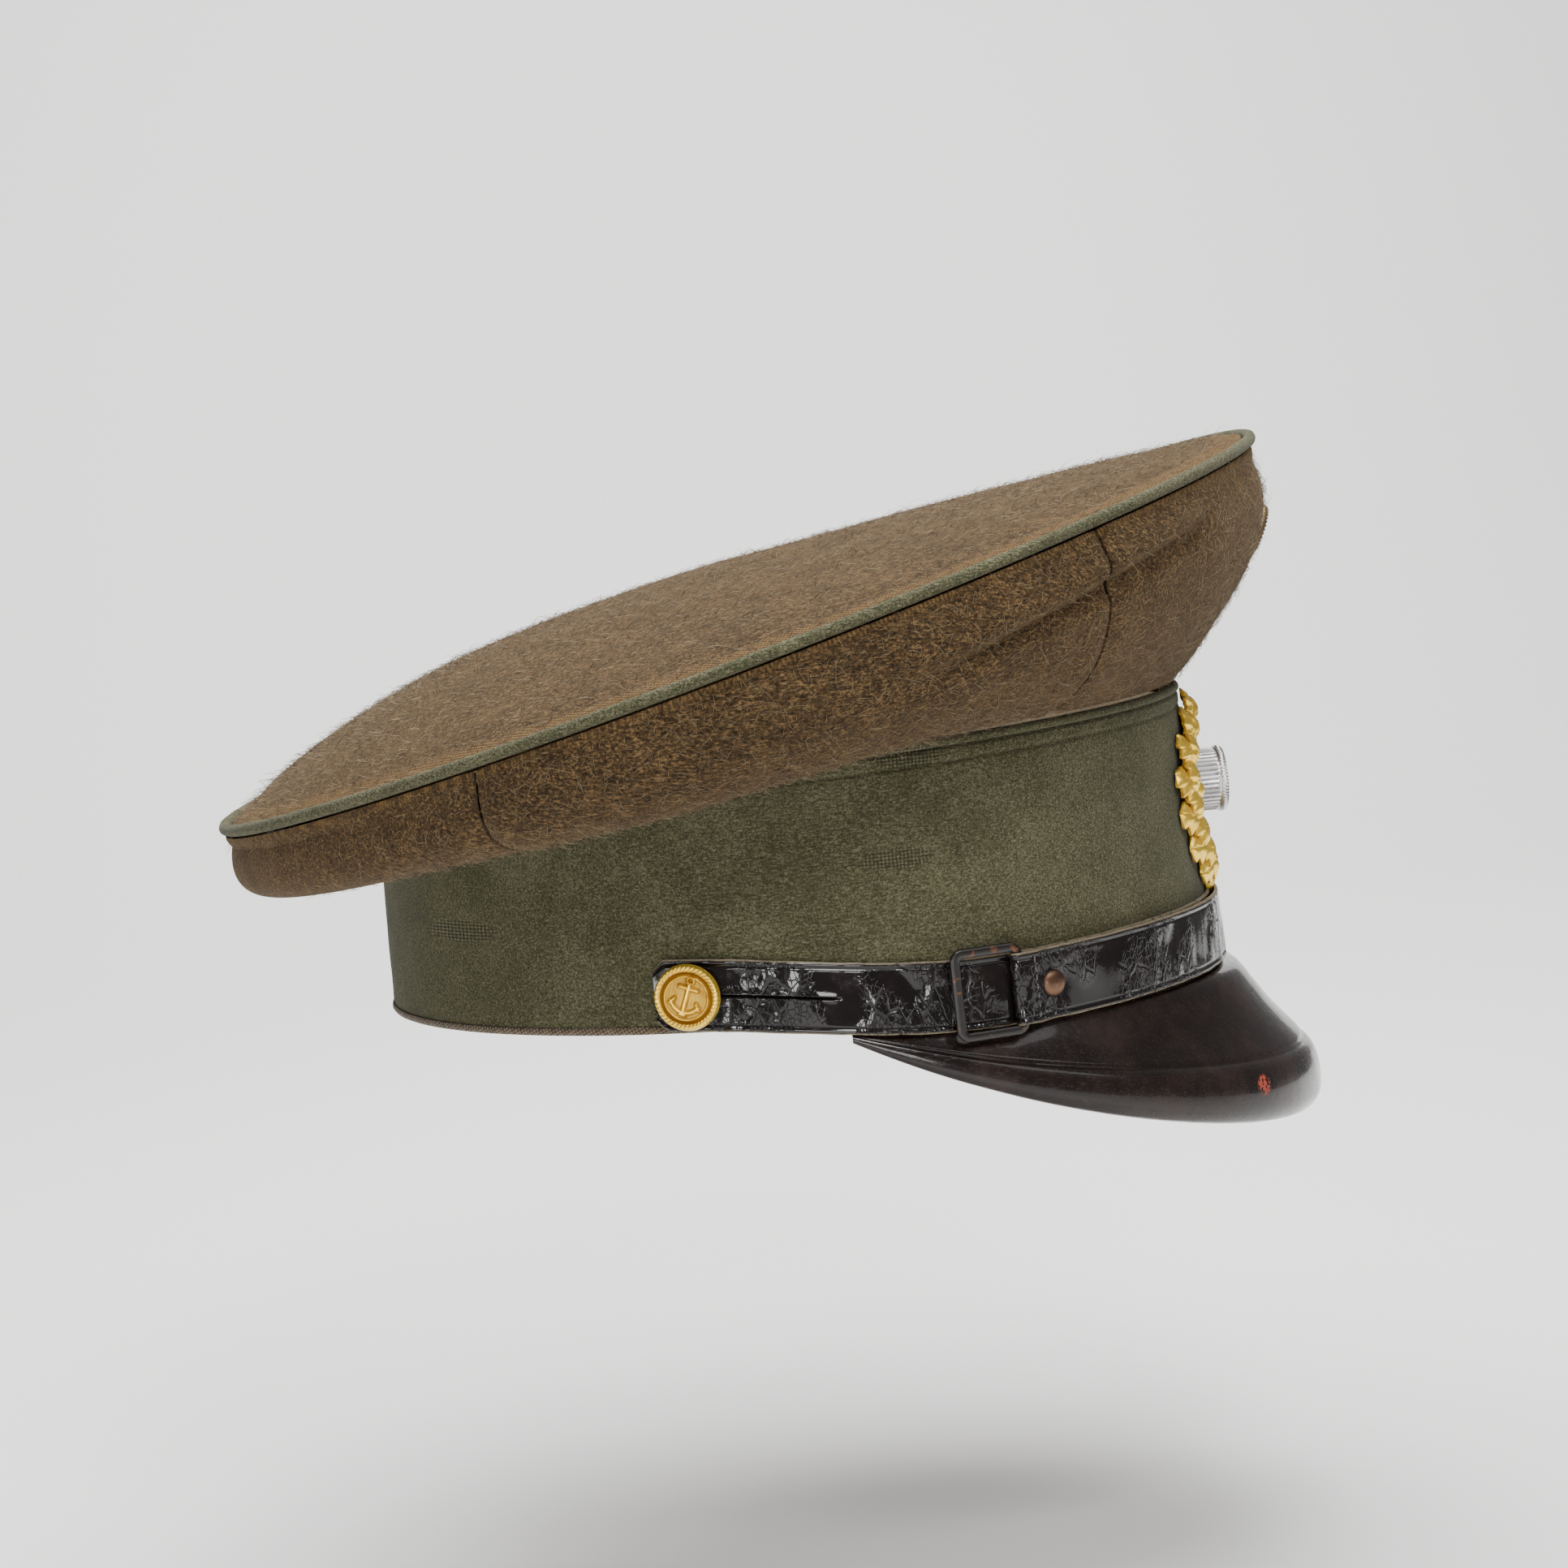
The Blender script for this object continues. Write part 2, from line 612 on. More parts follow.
@dataclass
class Build:
    """Surfaces gathered in millimetres, which become one object of closed parts."""

    name: str
    points: list[Array] = field(default_factory=list)
    faces: list[Array] = field(default_factory=list)
    slots: list[Array] = field(default_factory=list)
    marks: dict[str, list[Array]] = field(default_factory=dict)
    count: int = 0

    def _add(self, points: Array, faces: list[Array], slot: int, marks: dict[str, Array]) -> None:
        """Adds one closed part, turned the right way out by the sign of its volume.

        Args:
            points: Points of shape (n, 3).
            faces: Arrays of quads and of triangles; a triangle repeats its last corner.
            slot: The material's place on the object.
            marks: Numbers or vectors at the points, by attribute name.
        """
        quads = np.concatenate(faces)
        a, b, c, d = (points[quads[:, i]] for i in range(4))
        volume = np.einsum("ij,ij->", a, np.cross(b, c)) + np.einsum("ij,ij->", a, np.cross(c, d))
        if volume < 0:
            flipped = quads[:, ::-1].copy()
            triangle = quads[:, 2] == quads[:, 3]
            flipped[triangle] = quads[triangle][:, [1, 0, 2, 3]]
            quads = flipped
        self.points.append(points)
        self.faces.append(quads + self.count)
        self.slots.append(np.full(len(quads), slot, np.int32))
        for key, value in marks.items():
            self.marks.setdefault(key, []).append((self.count, np.asarray(value, float)))
        self.count += len(points)

    @staticmethod
    def _quads(index: Array, wrap_u: bool, wrap_v: bool) -> Array:
        """Quads over a grid of point numbers, closed round either way if asked."""
        if wrap_u:
            index = np.concatenate([index, index[:1]], 0)
        if wrap_v:
            index = np.concatenate([index, index[:, :1]], 1)
        corners = (index[:-1, :-1], index[1:, :-1], index[1:, 1:], index[:-1, 1:])
        return np.stack([c.ravel() for c in corners], 1)

    def slab(self, outer: Array, inner: Array, wrap_u: bool = False, wrap_v: bool = False, slot: int = 0,
             **marks: Array) -> None:
        """Closed wall between two grids of the same shape, stitched along their borders.

        Args:
            outer: Points of shape (n, m, 3).
            inner: Points of the same shape on the wall's other face.
            wrap_u: Whether the first index runs round.
            wrap_v: Whether the second index runs round.
            slot: The material's place on the object.
            marks: Numbers on the outer grid, repeated on the inner, or on both stacked as (2, n, m).
        """
        n, m = outer.shape[:2]
        front = np.arange(n * m).reshape(n, m)
        back = front + n * m
        faces = [self._quads(front, wrap_u, wrap_v), self._quads(back, wrap_u, wrap_v)[:, ::-1]]
        if not wrap_u:
            for row, turn in ((0, 1), (n - 1, -1)):
                rim = np.stack([front[row], back[row]])[::turn]
                faces.append(self._quads(rim, False, wrap_v))
        if not wrap_v:
            for column, turn in ((0, -1), (m - 1, 1)):
                rim = np.stack([front[:, column], back[:, column]])[::turn]
                faces.append(self._quads(rim, False, wrap_u))
        spread = {
            k: v.reshape(2 * n * m, -1) if v.shape[:3] == (2, n, m) else np.tile(v.reshape(n * m, -1), (2, 1))
            for k, v in ((k, np.asarray(v, float)) for k, v in marks.items())
        }
        self._add(np.concatenate([outer.reshape(-1, 3), inner.reshape(-1, 3)]), faces, slot, spread)

    def closed(self, grid: Array, slot: int = 0, ring: bool = False, **marks: Array) -> None:
        """Closed skin whose second index runs round; its ends meet, or are closed by fans.

        Args:
            grid: Points of shape (n, m, 3).
            slot: The material's place on the object.
            ring: Whether the first index runs round too.
            marks: Numbers on the grid.
        """
        n, m = grid.shape[:2]
        index = np.arange(n * m).reshape(n, m)
        faces = [self._quads(index, ring, True)]
        points = grid.reshape(-1, 3)
        spread = {k: np.asarray(v, float).reshape(n * m, -1) for k, v in marks.items()}
        if not ring:
            points = np.concatenate([points, grid[[0, -1]].mean(1)])
            for row, pole, turn in ((0, n * m, 1), (n - 1, n * m + 1, -1)):
                rim = index[row][::turn]
                around = np.roll(rim, -1)
                tip = np.full(m, pole)
                faces.append(np.stack([rim, around, tip, tip], 1))
            spread = {k: np.concatenate([v, v[:1], v[-1:]]) for k, v in spread.items()}
        self._add(points, faces, slot, spread)

    def finish(self, *stuff: Stuff, body: str = CAP, replaces: Sequence[str] = (), slot: Optional[str] = None,
               smooth_angle: float = 35.0) -> bpy.types.Object:
        """Makes the object, dresses it and puts it on its body.

        Args:
            stuff: The finishes, by slot.
            body: The CAD body that it rides on.
            replaces: The CAD nodes that it stands for.
            slot: The record's material slot.
            smooth_angle: Edges sharper than this, in degrees, stay sharp.

        Returns:
            The finished object.
        """
        points = np.concatenate(self.points) * MM
        quads = np.concatenate(self.faces)
        slots = np.concatenate(self.slots)
        triangle = quads[:, 2] == quads[:, 3]
        loops = np.concatenate([quads[~triangle].ravel(), quads[triangle][:, :3].ravel()])
        sizes = np.concatenate([np.full((~triangle).sum(), 4), np.full(triangle.sum(), 3)])
        mesh = bpy.data.meshes.new(self.name)
        mesh.vertices.add(len(points))
        mesh.vertices.foreach_set("co", points.astype(np.float32).ravel())
        mesh.loops.add(len(loops))
        mesh.loops.foreach_set("vertex_index", loops.astype(np.int32))
        mesh.polygons.add(len(sizes))
        mesh.polygons.foreach_set("loop_start", (np.cumsum(sizes) - sizes).astype(np.int32))
        mesh.polygons.foreach_set("material_index", np.concatenate([slots[~triangle], slots[triangle]]))
        mesh.update(calc_edges=True)
        for key, parts in self.marks.items():
            width = parts[0][1].shape[1]
            values = np.zeros((self.count, 3 if width > 1 else 1))
            for start, part in parts:
                values[start:start + len(part), : part.shape[1]] = part
            kind = "FLOAT_VECTOR" if width > 1 else "FLOAT"
            layer = mesh.attributes.new(key, kind, "POINT")
            layer.data.foreach_set("vector" if width > 1 else "value", values.astype(np.float32).ravel())
        for item in stuff:
            mesh.materials.append(item.material)
        mesh.polygons.foreach_set("use_smooth", np.ones(len(sizes), bool))
        mesh.set_sharp_from_angle(angle=math.radians(smooth_angle))
        made = bpy.data.objects.new(self.name, mesh)
        bpy.context.scene.collection.objects.link(made)
        if body:
            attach(made, body)
        if replaces:
            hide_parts(*replaces)
        log.info("%s: %d points, %d faces", self.name, len(points), len(sizes))
        return made


def tube(path: Array, across: Array, up: Array, radius: Union[float, Array], sides: int = 12) -> Array:
    """Grid round a path: centre + (across cos a + up sin a) times the radius.

    Args:
        path: Centres of shape (n, 3).
        across: First direction at each centre.
        up: Second direction at each centre.
        radius: One radius, or one for each centre.
        sides: Points round.

    Returns:
        Points of shape (n, sides, 3).
    """
    a = np.linspace(0, 2 * np.pi, sides, endpoint=False)[None, :, None]
    r = np.broadcast_to(np.asarray(radius, float), len(path))[:, None, None]
    return path[:, None] + (across[:, None] * np.cos(a) + up[:, None] * np.sin(a)) * r


def cloth_area(piece: bpy.types.Object) -> float:
    """Half of the surface of a thin closed wall, which is the area of its cloth, in square metres."""
    return sum(p.area for p in piece.data.polygons) / 2


def declare_sheet(piece: bpy.types.Object, flat: tuple[float, float]) -> None:
    """Declares a piece as cloth that was cut from a flat width and length in millimetres.

    The flat area is taken from the finished cloth, as the true cut is not known, so it can't show any stretch.

    Args:
        piece: The cloth.
        flat: Width and length of the cut.
    """
    width, length = (side * MM for side in flat)
    area = min(cloth_area(piece), width * length)


# ------------------------------------------------------------------ the cap's form

UP = np.array([0.0, 0.0, 1.0])


@dataclass(frozen=True)
class CapShape:
    """The cap's form: ovals round the head, the tilted crown and the strap's line. Angles are in degrees."""

    band_half: tuple[float, float] = (105.0, 87.0)
    band_heights: tuple[float, float, float] = (65.0, 61.0, 57.0)
    taper: tuple[float, float, float, float] = (62.0, -2.5, 1.5, -1.5)
    crown_half: tuple[float, float] = (138.0, 127.0)
    crown_middle: tuple[float, float] = (-10.0, 88.5)
    tilt: float = 16.0
    dome: float = 15.0
    crest: float = -0.45
    start_above: float = 1.9

    def around(self, phi: Array, front: float, side: float, rear: float) -> Array:
        """A value that is given at the front, sides and rear: side + odd part cos + even part cos squared."""
        c = np.cos(np.radians(phi))
        return side + (front - rear) / 2 * c + ((front + rear) / 2 - side) * c * c

    def band_out(self, phi: Array) -> Array:
        """Level unit vector out of the band: the oval's gradient (cos / a, sin / b, 0)."""
        a = np.radians(phi)
        return unit(stack(np.cos(a) / self.band_half[0], np.sin(a) / self.band_half[1], 0.0))

    def band_point(self, phi: Array, off: Array, z: Array) -> Array:
        """Point of the band's tapering oval at a height, moved out of it by off."""
        phi, off, z = np.broadcast_arrays(np.asarray(phi, float), off, z)
        a, k = np.radians(phi), z / self.taper[0]
        x = (self.band_half[0] + self.taper[1] * k) * np.cos(a) + self.taper[3] * k
        y = (self.band_half[1] + self.taper[2] * k) * np.sin(a)
        return stack(x, y, z) + self.band_out(phi) * off[..., None]

    def band_top(self, phi: Array) -> Array:
        """Height of the band's upper edge."""
        return self.around(phi, *self.band_heights)

    def crown_out(self, phi: Array) -> Array:
        """Level unit vector out of the crown's oval."""
        a = np.radians(phi)
        return unit(stack(np.cos(a) / self.crown_half[0], np.sin(a) / self.crown_half[1], 0.0))

    def crown_edge(self, phi: Array) -> Array:
        """Point of the piped edge: a tilted oval."""
        a, t = np.radians(phi), math.radians(self.tilt)
        long = self.crown_half[0] * np.cos(a)
        x, z = self.crown_middle
        return stack(x + math.cos(t) * long, self.crown_half[1] * np.sin(a), z + math.sin(t) * long)

    def top_point(self, phi: Array, f: Array, drop: Array) -> Array:
        """Point of the dished top: a share f of the way from the crest to the edge, raised by dome (1 - f^2)."""
        phi, f, drop = np.broadcast_arrays(np.asarray(phi, float), f, drop)
        t = math.radians(self.tilt)
        along = np.array([math.cos(t), 0, math.sin(t)])
        normal = np.array([-math.sin(t), 0, math.cos(t)])
        crest = np.array([self.crown_middle[0], 0, self.crown_middle[1]]) + along * self.crown_half[0] * self.crest
        rim = self.crown_edge(phi) - self.crown_out(phi) * 2 - crest
        return crest + rim * f[..., None] + normal * (self.dome * (1 - f * f) + 0.4 - drop)[..., None]

    def side_frame(self, phi: Array, t: Array) -> tuple[Array, Array]:
        """The crown's side wall as a cubic Bezier curve in each upright plane.

        Args:
            phi: Angles.
            t: 0 at the band and 1 at the edge.

        Returns:
            The point on the wall's outer face and the unit normal out of it.
        """
        phi, t = np.broadcast_arrays(np.asarray(phi, float), t)
        out = self.crown_out(phi)
        low = self.band_point(phi, self.around(phi, -0.6, 0.8, 1.7), self.band_top(phi) + self.start_above)
        high = self.crown_edge(phi) - UP * 2
        low_pull = out * self.around(phi, 12, 16, 8)[..., None] + UP * self.around(phi, 16, -9, -33)[..., None]
        high_pull = out * self.around(phi, 14, 8, 7.5)[..., None] - UP * self.around(phi, 17, 24, 26)[..., None]
        a, b, c, d, s = low, low + low_pull, high + high_pull, high, t[..., None]
        point = a * (1 - s) ** 3 + 3 * b * s * (1 - s) ** 2 + 3 * c * s * s * (1 - s) + d * s**3
        slope = (b - a) * (1 - s) ** 2 + 2 * (c - b) * s * (1 - s) + (d - c) * s * s
        normal = unit(out * slope[..., 2:] - UP * np.sum(out * slope, -1, keepdims=True))
        return point, normal

    def side_point(self, phi: Array, t: Array, inset: Array) -> Array:
        """Point of the crown's side, inset from its outer face."""
        point, normal = self.side_frame(phi, t)
        return point - normal * np.asarray(inset, float)[..., None]

    def strap_middle(self, phi: Array) -> Array:
        """Height of the chin strap's middle line."""
        return 4.2 - 1.2 * smooth(np.abs(phi), 30, 70) + 6.2 * smooth(np.abs(phi), 70, 112)

    def stretch(self, phi: float) -> float:
        """Millimetres along the band in one degree."""
        a = math.radians(phi)
        return math.hypot(self.band_half[0] * math.sin(a), self.band_half[1] * math.cos(a)) * math.pi / 180

    def arc(self, phi: Array) -> Array:
        """Length along the band from the first angle, by adding up the steps."""
        points = self.band_point(phi, 0.0, 0.0)
        steps = np.linalg.norm(np.diff(points, axis=0), axis=-1)
        return np.concatenate([[0.0], np.cumsum(steps)])


SHAPE = CapShape()
ROUND = np.linspace(-180, 180, 360, endpoint=False)


@dataclass(frozen=True)
class Seat:
    """A place on the cap: a middle with directions across, up and out."""

    middle: Array
    across: Array
    up: Array
    out: Array

    @classmethod
    def on_band(cls, phi: float, off: float, z: float) -> "Seat":
        """A seat on the band, with across along it and up upright."""
        out = SHAPE.band_out(phi)
        return cls(SHAPE.band_point(phi, off, z), np.cross(UP, out), UP, out)

    @classmethod
    def on_front(cls, t: float, inset: float) -> "Seat":
        """A seat on the crown's front."""
        point, out = SHAPE.side_frame(0.0, t)
        across = np.array([0.0, 1.0, 0.0])
        return cls(point - out * inset, across, np.cross(out, across), out)

    def put(self, a: Array, b: Array, h: Array) -> Array:
        """Points at across a, up b and out h."""
        a, b, h = np.broadcast_arrays(a, b, h)
        return self.middle + a[..., None] * self.across + b[..., None] * self.up + h[..., None] * self.out

    def turned(self, build: Build, radii: Array, heights: Array, sides: int = 96, slot: int = 0,
               hollow: Optional[Array] = None) -> None:
        """Adds a shape turned about the out direction: its profile at each angle round.

        Args:
            build: Takes the shape.
            radii: The profile's radii, one row for each point, of shape (n,) or (n, sides).
            heights: The profile's heights, of the same shape.
            sides: Points round.
            slot: The material's place.
            hollow: The mark for tarnish, of the same shape.
        """
        theta = np.linspace(0, 2 * np.pi, sides, endpoint=False)
        r = np.broadcast_to(radii if radii.ndim == 2 else radii[:, None], (len(radii), sides))
        h = np.broadcast_to(heights if heights.ndim == 2 else heights[:, None], (len(radii), sides))
        dark = np.zeros_like(r) if hollow is None else np.broadcast_to(
            hollow if hollow.ndim == 2 else hollow[:, None], r.shape)
        build.closed(self.put(r * np.cos(theta), r * np.sin(theta), h), slot=slot, hollow=dark)


def curve(points: Sequence[Sequence[float]], n: int) -> Array:
    """Catmull-Rom curve through points: each span blends its four nearest by the cubic of the share along it.

    Args:
        points: The points, of any width.
        n: How many to return, evenly spread by length.

    Returns:
        Points of shape (n, width).
    """
    p = np.asarray(points, float)
    p = np.concatenate([2 * p[:1] - p[1:2], p, 2 * p[-1:] - p[-2:-1]])
    t = np.linspace(0, 1, 24, endpoint=False)[None, :, None]
    a, b, c, d = (p[i:len(p) - 3 + i, None] for i in range(4))
    spans = 0.5 * (2 * b + (c - a) * t + (2 * a - 5 * b + 4 * c - d) * t**2 + (3 * b - a - 3 * c + d) * t**3)
    fine = np.concatenate([spans.reshape(-1, p.shape[1]), p[-2:-1]])
    length = np.concatenate([[0], np.cumsum(np.linalg.norm(np.diff(fine, axis=0), axis=1))])
    at = np.linspace(0, length[-1], n)
    return np.stack([np.interp(at, length, fine[:, i]) for i in range(p.shape[1])], 1)


def band_ring(build: Build, section: Sequence[Sequence[float]], phi: Array = ROUND, ring: bool = True,
              rise: Optional[Callable[[Array], Array]] = None, wobble: float = 0.0, slot: int = 0) -> None:
    """Adds a closed section carried round the head, with its cloth coordinates.

    Args:
        build: Takes the shape.
        section: Corners as (off, height).
        phi: Angles.
        ring: Whether it closes on itself.
        rise: A height to add at each angle.
        wobble: How far its surface wanders, in millimetres.
        slot: The material's place.
    """
    s = np.asarray(section, float)
    lift = rise(phi)[:, None] if rise else 0.0
    grid = SHAPE.band_point(phi[:, None], s[None, :, 0], s[None, :, 1] + lift)
    if wobble:
        grid = grid + SHAPE.band_out(phi)[:, None] * (folds(grid, 14, 5) * wobble)[..., None]
    girth = np.concatenate([[0], np.cumsum(np.linalg.norm(np.diff(s, axis=0), axis=1))])
    cloth = stack(SHAPE.arc(phi)[:, None] * MM, girth[None] * MM, 0.0)
    build.closed(grid, slot=slot, ring=ring, cloth=cloth)


def rounded(width: float, height: float, radius: float, n: int = 48) -> Array:
    """Outline of a rectangle with round corners: a circle's points moved out to the corners' middles."""
    a = np.linspace(0, 2 * np.pi, n, endpoint=False) + np.pi / n
    c, s = np.cos(a), np.sin(a)
    return np.stack([c * radius + np.sign(c) * (width / 2 - radius),
                     s * radius + np.sign(s) * (height / 2 - radius)], 1)


# ------------------------------------------------------------------ crown


@dataclass
class Crown:
    """The crown: top cloth, four side quarters, piped edge, roll padding and linings."""

    cloth: float = 1.6
    seam_front: float = 55.0
    seam_rear: float = 120.0
    seam_gap: float = 0.2
    piping_radius: float = 1.5
    strip_width: float = 8.5
    lining_drop: float = 9.0

    def build(self) -> None:
        """Makes every piece of the crown."""
        self.top()
        for name, start, end in (("front", -self.seam_front, self.seam_front),
                                 ("left", self.seam_front, self.seam_rear),
                                 ("right", -self.seam_rear, -self.seam_front),
                                 ("rear", self.seam_rear, 360 - self.seam_rear)):
            self.quarter(name, start, end)
        self.piping()
        self.padding()
        self.linings()

    def top_relief(self, phi: Array, f: Array) -> Array:
        """How far the top cloth stands up: soft lumps, less near the piping, with the seam pulled down at its rim."""
        p = SHAPE.top_point(phi, f, 0.0)
        away = (1 - f) * np.linalg.norm(SHAPE.crown_edge(phi) - SHAPE.top_point(0.0, 0.0, 0.0), axis=-1)
        lumps = 0.45 + folds(p, 46, 11) * 0.55 + folds(p, 13, 17, 2) * 0.12
        lumps = lumps + 3.2 * np.exp(-(((p[..., 0] + 48) / 62) ** 2 + (p[..., 1] / 105) ** 2))
        strip = 0.35 * smooth(away, 0.3, 2.2) * smooth(away, self.strip_width, self.strip_width - 1.4)
        return lumps * smooth(away, 2, 16) * smooth(f, 0.0, 0.05) + strip

    def top(self) -> None:
        """The top cloth: a dished disc of two faces, from the crest out to the rim and back underneath."""
        f = np.concatenate([np.linspace(0.01, 0.86, 52), np.linspace(0.87, 1.0, 26)])
        phi = ROUND[None]
        height = self.top_relief(phi, f[:, None])
        outer = SHAPE.top_point(phi, f[:, None], -height)
        inner = SHAPE.top_point(phi, f[::-1, None], self.cloth - 0.7 * height[::-1])
        grid = np.concatenate([outer, inner])
        away = np.linalg.norm(SHAPE.crown_edge(phi) - outer, axis=-1)
        bare = smooth(away, self.strip_width + 1, self.strip_width - 1.2)
        build = Build("crown_top_cloth")
        build.closed(grid, cloth=grid[..., [0, 1, 2]] * MM, bare=np.concatenate([bare, bare[::-1] * 0]))
        piece = build.finish(Stuff.WOOL, replaces=["crown_top"], slot="wool")
        declare_sheet(piece, (2 * SHAPE.crown_half[0] + 10, 2 * SHAPE.crown_half[1] + 10))

    def side_relief(self, phi: Array, t: Array, start: float, end: float) -> Array:
        """How far a quarter stands out: lumps, sewn borders, a slack fold, a drawn crease, a flatter front and nape."""
        p, _ = SHAPE.side_frame(phi, t)
        mm = 1.95
        seam = np.minimum(np.abs(phi - start), np.abs(phi - end)) * mm
        border = smooth(seam, 0.0, 2.6) * 0.5 - 0.5 + 0.2 * np.exp(-(((seam - 4.2) / 1.6) ** 2))
        lumps = folds(p, 40, 23) * 0.9 + folds(p, 12, 31, 2) * 0.16
        rim = smooth(t, 0.0, 0.09) * smooth(t, 1.0, 0.93)
        line = 0.84 + (phi + 40.4) / (75.3 - 40.4) * 0.1 - 0.02
        crease = np.exp(-(((t - line) / 0.035) ** 2)) * smooth(phi, -82, -66) * smooth(phi, -36, -44)
        lip = np.exp(-(((t - line - 0.085) / 0.05) ** 2)) * smooth(phi, -82, -66) * smooth(phi, -36, -44)
        slack = np.sin(np.radians(phi) * 7 + 1.2) * np.exp(-(((t - 0.45) / 0.3) ** 2)) * 0.5
        nose = 2.6 * np.exp(-((np.minimum(np.abs(phi), np.abs(phi - 360)) / 34) ** 2)) * smooth(t, 0.35, 0.75)
        pinned = np.exp(-((np.minimum(np.abs(phi), np.abs(phi - 360)) / 8) ** 2 + ((t - 0.62) / 0.2) ** 2))
        nose = nose * (1 - 0.8 * pinned)
        nape = 5.4 * np.exp(-(((180 - np.abs(phi)) / 42) ** 2))
        return border + (lumps + slack - nose - nape) * rim - crease * 2.6 + lip * 1.2

    def quarter(self, side: str, start: float, end: float) -> None:
        """One quarter of the side: the Bezier wall between two seams, with a face on each side of the cloth."""
        n = max(60, int((end - start) * 1.3))
        phi = np.linspace(start + self.seam_gap, end - self.seam_gap, n)[:, None]
        t = (0.5 - 0.5 * np.cos(np.linspace(0, np.pi, 64)))[None] * 0.35 + np.linspace(0, 1, 64)[None] * 0.65
        relief = self.side_relief(phi, t, start, end)
        outer = SHAPE.side_point(phi, t, -relief)
        inner = SHAPE.side_point(phi, t, self.cloth - np.maximum(relief, -0.6) * 0.6)
        build = Build(f"crown_side_cloth_{side}")
        rub = smooth(t, 0.965, 0.995) * 0.7 + 0 * phi
        build.slab(outer, inner, cloth=outer * MM, bare=rub)
        piece = build.finish(Stuff.WOOL, replaces=[f"crown_side_{side}"], slot="wool")
        width = np.linalg.norm(np.diff(outer[:, 63], axis=0), axis=-1).sum()
        height = np.linalg.norm(np.diff(outer, axis=1), axis=-1).sum(1).max()
        declare_sheet(piece, (float(width) + 12, float(height) + 12))

    def piping(self) -> None:
        """The cord in its cloth cover round the crown's edge: a circle carried round the tilted oval."""
        build = Build("crown_piping_cord")
        phi = np.linspace(-180, 180, 720, endpoint=False)
        path = SHAPE.crown_edge(phi)
        grid = tube(path, SHAPE.crown_out(phi), np.tile(UP, (len(phi), 1)), self.piping_radius, 16)
        grid = grid + SHAPE.crown_out(phi)[:, None] * (folds(grid, 9, 41, 2) * 0.08)[..., None]
        length = np.concatenate([[0], np.cumsum(np.linalg.norm(np.diff(path, axis=0), axis=1))])
        build.closed(grid, ring=True, cloth=stack(length[:, None] * MM, np.arange(16)[None] * 0.6 * MM, 0.0))
        build.finish(Stuff.PIPING, replaces=["crown_piping"], slot="green_piping")

    def padding(self) -> None:
        """The wadding roll inside the sides and nape: a lumpy circle carried round, with closed round ends."""
        phi = np.linspace(30, 330, 240)
        ends = np.sqrt(np.clip(np.minimum(phi - 30, 330 - phi) / 3.0, 0.02, 1))
        path = SHAPE.side_point(phi, 0.6, self.cloth + 4.7)
        grid = tube(path, SHAPE.crown_out(phi), np.tile(UP, (len(phi), 1)), 3.9 * ends, 20)
        middle = path[:, None]
        grid = middle + (grid - middle) * (1 + 0.06 * folds(grid, 12, 51, 2))[..., None]
        build = Build("roll_wadding")
        build.closed(grid)
        build.finish(Stuff.WADDING, replaces=["roll_padding"], slot="wadding")

    def disc(self, name: str, stuff: Stuff, slot: str, node: str, out_f: float, drop: float, thick: float,
             wrinkle: float) -> bpy.types.Object:
        """A dished disc under the top cloth.

        Args:
            name: The piece's name.
            stuff: Its finish.
            slot: Its material slot in the record.
            node: The CAD node that it replaces.
            out_f: Its rim, as a share of the way to the edge.
            drop: Its depth under the top.
            thick: Its thickness.
            wrinkle: How far its surface wanders.

        Returns:
            The piece.
        """
        f = np.linspace(0.01, out_f, 40)
        p = SHAPE.top_point(ROUND[None], f[:, None], drop)
        wave = folds(p, 26, 61) * wrinkle
        outer = SHAPE.top_point(ROUND[None], f[:, None], drop - wave)
        inner = SHAPE.top_point(ROUND[None], f[::-1, None], drop + thick - wave[::-1])
        grid = np.concatenate([outer, inner])
        build = Build(name)
        build.closed(grid, cloth=grid * MM)
        piece = build.finish(stuff, replaces=[node], slot=slot)
        a, b = SHAPE.crown_half
        declare_sheet(piece, (2 * a * out_f + 6, 2 * b * out_f + 6))
        return piece

    def linings(self) -> None:
        """The canvas, the top lining and the gathered side lining, each a thin closed wall."""
        self.disc("top_canvas", Stuff.CANVAS, "canvas", "top_interlining", 0.97, self.cloth + 0.35, 0.6, 0.0)
        self.disc("lining_top_sateen", Stuff.LINING, "lining", "lining_top", 0.8, self.lining_drop, 0.5, 0.25)
        phi = np.linspace(-180, 180, 540, endpoint=False)[:, None]
        s = np.linspace(0, 1, 22)[None]
        low = SHAPE.band_point(phi, -3.4, SHAPE.band_top(phi) + 8)
        high = SHAPE.top_point(phi, 0.66, self.lining_drop + 2)
        run, out = high - low, SHAPE.crown_out(phi)
        normal = unit(out * run[..., 2:] - UP * np.sum(out * run, -1, keepdims=True))
        line = low + run * s[..., None]
        gather = (0.3 + 0.3 * np.sin(np.radians(phi) * 90 + folds(line, 30, 71) * 2)) * np.sin(np.pi * s)
        outer = line - normal * (gather * 0.8)[..., None]
        inner = outer - normal * 0.5
        build = Build("lining_side_sateen")
        build.slab(outer, inner, wrap_u=True, cloth=stack(phi * 1.7 * MM, s * 35 * MM, 0.0))
        piece = build.finish(Stuff.LINING, replaces=["lining_side"], slot="lining")
        declare_sheet(piece, (620, 48))


